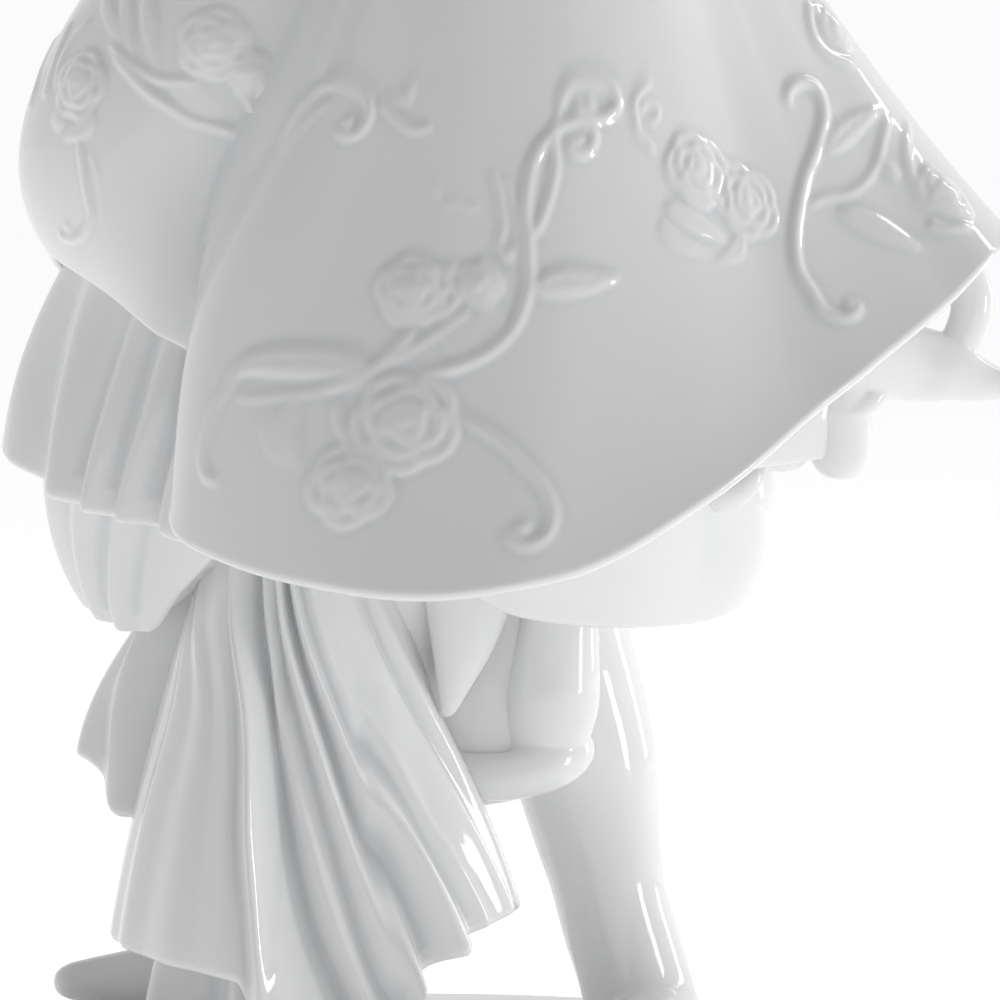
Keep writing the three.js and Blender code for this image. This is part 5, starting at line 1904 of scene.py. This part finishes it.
@dataclass(frozen=True)
class Gentleman:
    """The gentleman behind her: coat with tails, sleeves, hands, breeches, shoes and head."""

    coat: Loft = Loft(
        (
            (16, 24, 386, 9.5, 10), (17, 26, 372, 9.5, 10), (18, 28, 362, 11, 10.5),
            (19, 30, 356, 21, 12), (20, 31, 348, 38, 15), (20, 31, 338, 36, 18),
            (20, 31, 318, 32, 20), (20, 32, 290, 27, 18.5), (19, 34, 262, 22.5, 17),
            (17, 36, 235, 26, 20.5), (16, 37, 212, 25, 20), (15, 37, 196, 20, 16),
        )
    )
    tails: tuple[Loft, ...] = (
        Loft(
            (
                (14, 45, 262, 8, 4), (13.6, 47.6, 255, 11, 6), (13, 50, 246, 12, 7), (8, 56, 215, 12.5, 6),
                (3, 60, 180, 11.5, 4.6), (0, 61, 150, 9.5, 3.8), (-1, 61, 138, 6, 2.6),
            )
        ),
        Loft(
            (
                (22, 45, 262, 8, 4), (22.4, 47.6, 255, 11, 6), (23, 50, 246, 12, 7), (28, 56, 215, 12.5, 6),
                (32, 60, 180, 11.5, 4.6), (34, 61, 150, 9.5, 3.8), (35, 61, 138, 6, 2.6),
            )
        ),
    )
    right_arm: Limb = Limb(
        ((-17, 31, 343, 12), (-32, 35, 316, 11), (-42, 27, 286, 9.4), (-36, 6, 272, 8), (-25, -12, 266, 5.6)),
        wrinkle=0.26,
    )
    left_arm: Limb = Limb(
        ((57, 31, 342, 12), (70, 30, 312, 11), (74, 18, 284, 9.4), (62, 0, 270, 8), (43, -14, 266, 5.6)),
        wrinkle=0.26,
    )
    cuffs: tuple[Limb, ...] = (
        Limb(((-32.4, 0.2, 270.1, 8.2), (-27.4, -8, 267.3, 7.6)), cap=0.3, rows=30),
        Limb(((54.4, -6.6, 268.4, 8.2), (46.6, -11.4, 266.9, 7.6)), cap=0.3, rows=30),
    )
    lapels: tuple[Limb, ...] = (
        Limb(
            (
                (24, 19.4, 355.5, 3), (33, 16.8, 347, 4.6), (36, 14.6, 332, 4.8), (33, 12.8, 316, 3.8),
                (28, 13.2, 300, 2.4), (24, 13.4, 286, 1.4),
            ),
            0.4,
        ),
        Limb(
            (
                (16, 19.4, 355.5, 3), (7, 16.8, 347, 4.6), (4, 14.6, 332, 4.8), (7, 12.8, 316, 3.8),
                (12, 13.2, 300, 2.4), (16, 13.4, 286, 1.4),
            ),
            0.4,
        ),
    )
    cravat: tuple[Egg, ...] = (
        Egg((19.4, 18.6, 358), (5, 3.4, 3.4)), Egg((19.8, 16.2, 351.6), (5.6, 2.6, 4)),
        Egg((20, 13.8, 344), (6, 2.4, 4.4)), Egg((20, 12.4, 336.5), (4.8, 2, 4.4)),
    )
    buttons: tuple[Egg, ...] = (
        Egg((20, 10.9, 322), (1.7, 1.1, 1.7)), Egg((20, 11.4, 311), (1.7, 1.1, 1.7)),
        Egg((20, 12.6, 300), (1.7, 1.1, 1.7)), Egg((20, 13.8, 289), (1.7, 1.1, 1.7)),
        Egg((10, 55.6, 252), (2, 1.4, 2)), Egg((26, 55.6, 252), (2, 1.4, 2)),
    )
    hands: tuple[Hand, ...] = (
        Hand((-25, -12, 266), (-3, -25, 262), (-10, -22, 274), 6.4),
        Hand((43, -14, 266), (21, -21, 258), (28, -18, 272), 6.4),
    )
    standing_leg: Loft = Loft(
        (
            (17, 35, 216, 19, 17), (15, 34, 150, 17, 17), (14, 32, 100, 16, 16), (17, 32, 77, 14.5, 14),
            (20.5, 31, 62, 14.5, 14), (23.5, 30, 50, 14, 13), (25.5, 30, 39.5, 12.8, 12.5),
            (27.2, 30, 31, 11.7, 12), (29, 30, 23, 10.7, 11.5), (31.5, 30, 14, 10.8, 11.5),
            (34, 29.5, 6, 10.7, 11.5), (35.4, 29, -0.5, 10.5, 11.4),
        )
    )
    striding_leg: Loft = Loft(
        (
            (8, 38, 218, 18, 17), (-2, 41, 180, 17.5, 17.5), (-13, 43, 130, 15, 16), (-25, 41, 85, 13, 14),
            (-35, 37, 48, 11.5, 12.5), (-42, 35, 22, 10, 11.5), (-44, 34, 6, 9.5, 11),
        )
    )
    shoes: tuple[Limb, ...] = (
        Limb(
            ((36.4, 34, 2.6, 9.6), (37.2, 22, 2.2, 8.4), (38, 11, 1.8, 6.8), (38.6, 4, 1.4, 5)),
            0.5, (0, 0, 1),
        ),
        Limb(((-42, 36, 6.2, 8), (-52, 31, 6.4, 6.6), (-63, 26, 6.8, 4.6), (-70.4, 22, 6.8, 3.4))),
    )
    collar: Frill = Frill((18, 28, 360), (10.4, 10.2), 5.0, 3.4, 0, 0.0, 3.0, -1.5)
    head: Head = Head((14, 21, 399), (17.6, 21.5, 26.5), -36, 18, 7)
    coat_skin: Skin = Skin(0.7, 4, 0.42)
    leg_skin: Skin = Skin(0.8, 4, 0.38)
    hand_skin: Skin = Skin(0.45, 3, 0.65)
    head_skin: Skin = Skin(0.5, 2, 0.65)

    def build(self) -> list[bpy.types.Object]:
        """The gentleman, all his parts in place.

        Returns:
            His coat, legs, hands and head.
        """
        cloth = (self.coat, *self.tails, self.right_arm, self.left_arm, self.collar)
        trim = (*self.cuffs, *self.lapels, *self.cravat, *self.buttons)
        legs = (self.standing_leg, self.striding_leg, *self.shoes)
        fingers = [shell for hand in self.hands for shell in hand.shells()]
        return [
            fused("gentleman_coat", [piece.shell() for piece in (*cloth, *trim)], self.coat_skin),
            fused("gentleman_legs", [piece.shell() for piece in legs], self.leg_skin),
            fused("gentleman_hands", fingers, self.hand_skin),
            fused("gentleman_head", self.head.shells(), self.head_skin),
        ]


@dataclass(frozen=True)
class Base:
    """The low oval base, rounded above and below."""

    middle: Spot = (-8.0, 2.0)
    size: Spot = (150.0, 112.0)
    height: float = 6.0
    round: float = 2.4

    def build(self) -> bpy.types.Object:
        """The base as a closed oval with quarter rounds at its edges.

        Returns:
            The base.
        """
        turn = np.linspace(0.0, np.pi / 2, 9)
        top = [(self.round * (1 - math.sin(a)), self.height - self.round * (1 - math.cos(a))) for a in turn]
        inset = np.array([*((r, z) for r, z in top), *((r, self.height - z) for r, z in reversed(top))])
        angle = np.linspace(0.0, 2 * np.pi, 160, endpoint=False)[None, :]
        x = self.middle[0] + (self.size[0] / 2 - inset[:, 0:1]) * np.cos(angle)
        y = self.middle[1] + (self.size[1] / 2 - inset[:, 0:1]) * np.sin(angle)
        z = np.broadcast_to(inset[:, 1:2] - self.height, x.shape)
        rings = np.stack([x, y, z], -1)
        return mesh_object("base", [ring_shell(rings)])


# The studio.


@dataclass(frozen=True)
class Softbox:
    """A rectangular studio light aimed at a place, sizes and places in metres."""

    name: str
    place: Place
    aim: Place
    size: Spot
    power: float

    def build(self) -> None:
        """Hangs the light."""
        light = bpy.data.lights.new(self.name, "AREA")
        light.shape = "RECTANGLE"
        light.size, light.size_y = self.size
        light.energy = self.power
        lamp = bpy.data.objects.new(self.name, light)
        lamp.location = self.place
        lamp.rotation_euler = (Vector(self.aim) - Vector(self.place)).to_track_quat("-Z", "Y").to_euler()
        bpy.context.scene.collection.objects.link(lamp)


@dataclass(frozen=True)
class Studio:
    """The camera, the floor, soft light all round and the softboxes."""

    camera_place: Place = (-0.0002, -1.4838, 0.221)
    camera_aim: Place = (-0.0002, 0.0162, 0.1032)
    lens: float = 300.9
    floor_size: float = 60.0
    sky: float = 0.1
    sky_right: float = 0.95
    sky_left: float = 0.62
    sky_back: float = 0.85
    boxes: tuple[Softbox, ...] = (
        Softbox("window", (1.24, -0.4, 0.2), (0.0, 0.0, 0.08), (0.2, 0.4), 2.0),
        Softbox("card", (1.1, 0.55, 0.3), (0.0, 0.0, 0.08), (0.16, 0.5), 1.6),
        Softbox("panel", (0.95, 0.9, 1.0), (0.0, 0.0, 0.15), (0.16, 0.5), 1.0),
    )

    def build(self) -> None:
        """Sets up everything round the figurine."""
        self.camera()
        self.floor()
        self.air()
        for box in self.boxes:
            box.build()

    def camera(self) -> None:
        """The camera, where the picture was taken from."""
        lens = bpy.data.cameras.new("camera")
        lens.lens = self.lens
        lens.sensor_width = 36.0
        lens.clip_end = 200.0
        camera = bpy.data.objects.new("camera", lens)
        camera.location = self.camera_place
        way = Vector(self.camera_aim) - Vector(self.camera_place)
        camera.rotation_euler = way.to_track_quat("-Z", "Y").to_euler()
        bpy.context.scene.collection.objects.link(camera)
        bpy.context.scene.camera = camera

    def floor(self) -> None:
        """The pale floor, wide enough to fill the whole picture behind the figurine."""
        half = self.floor_size / 2
        corners = [(-half, -half, 0), (half, -half, 0), (half, half, 0), (-half, half, 0)]
        mesh = bpy.data.meshes.new("floor")
        mesh.from_pydata(corners, [], [(0, 1, 2, 3)])
        mesh.materials.append(PaleFloor().material())
        ground = bpy.data.objects.new("floor", mesh)
        bpy.context.scene.collection.objects.link(ground)

    def air(self) -> None:
        """Soft light from behind and from both sides, and the plain view of colours."""
        bpy.context.scene.world = bpy.data.worlds.new("studio")
        bench = Bench(bpy.context.scene.world)
        way = bench.node("ShaderNodeTexCoord", {}, {})
        split = bench.node("ShaderNodeSeparateXYZ", {}, {"Vector": way.outputs["Generated"]})
        across, back = bench.value(split, "X"), bench.value(split, "Y")
        sides = across.at_least(0.0) * self.sky_right + (-1.0 * across).at_least(0.0) * self.sky_left
        glow = sides + back.at_least(0.0) * self.sky_back + self.sky
        backdrop = bench.node("ShaderNodeBackground", {}, {"Strength": glow})
        bench.node("ShaderNodeOutputWorld", {}, {"Surface": backdrop.outputs[0]})
        bpy.context.scene.view_settings.view_transform = "Standard"


def dress(piece: bpy.types.Object, finish: bpy.types.Material) -> None:
    """Glazes a piece, ties it to the casting that it stands for and reports it.

    Args:
        piece: the finished piece.
        finish: its glaze.
    """
    piece.data.materials.clear()
    piece.data.materials.append(finish)
    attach(piece, BODY)
    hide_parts(CASTING)
    faces = sum(len(polygon.vertices) - 2 for polygon in piece.data.polygons)
    LOG.info("%s: %d triangles", piece.name, faces)


def main() -> None:
    """Loads the solid's frame and builds the figurine over it."""
    logging.basicConfig(level=logging.INFO, format="%(message)s")
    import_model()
    glaze = WhiteGlaze().material()
    pieces = [*Gown().build(), *Lady().build(), *Gentleman().build(), Base().build()]
    for piece in pieces:
        dress(piece, glaze)
    Studio().build()


if __name__ == "__main__":
    main()
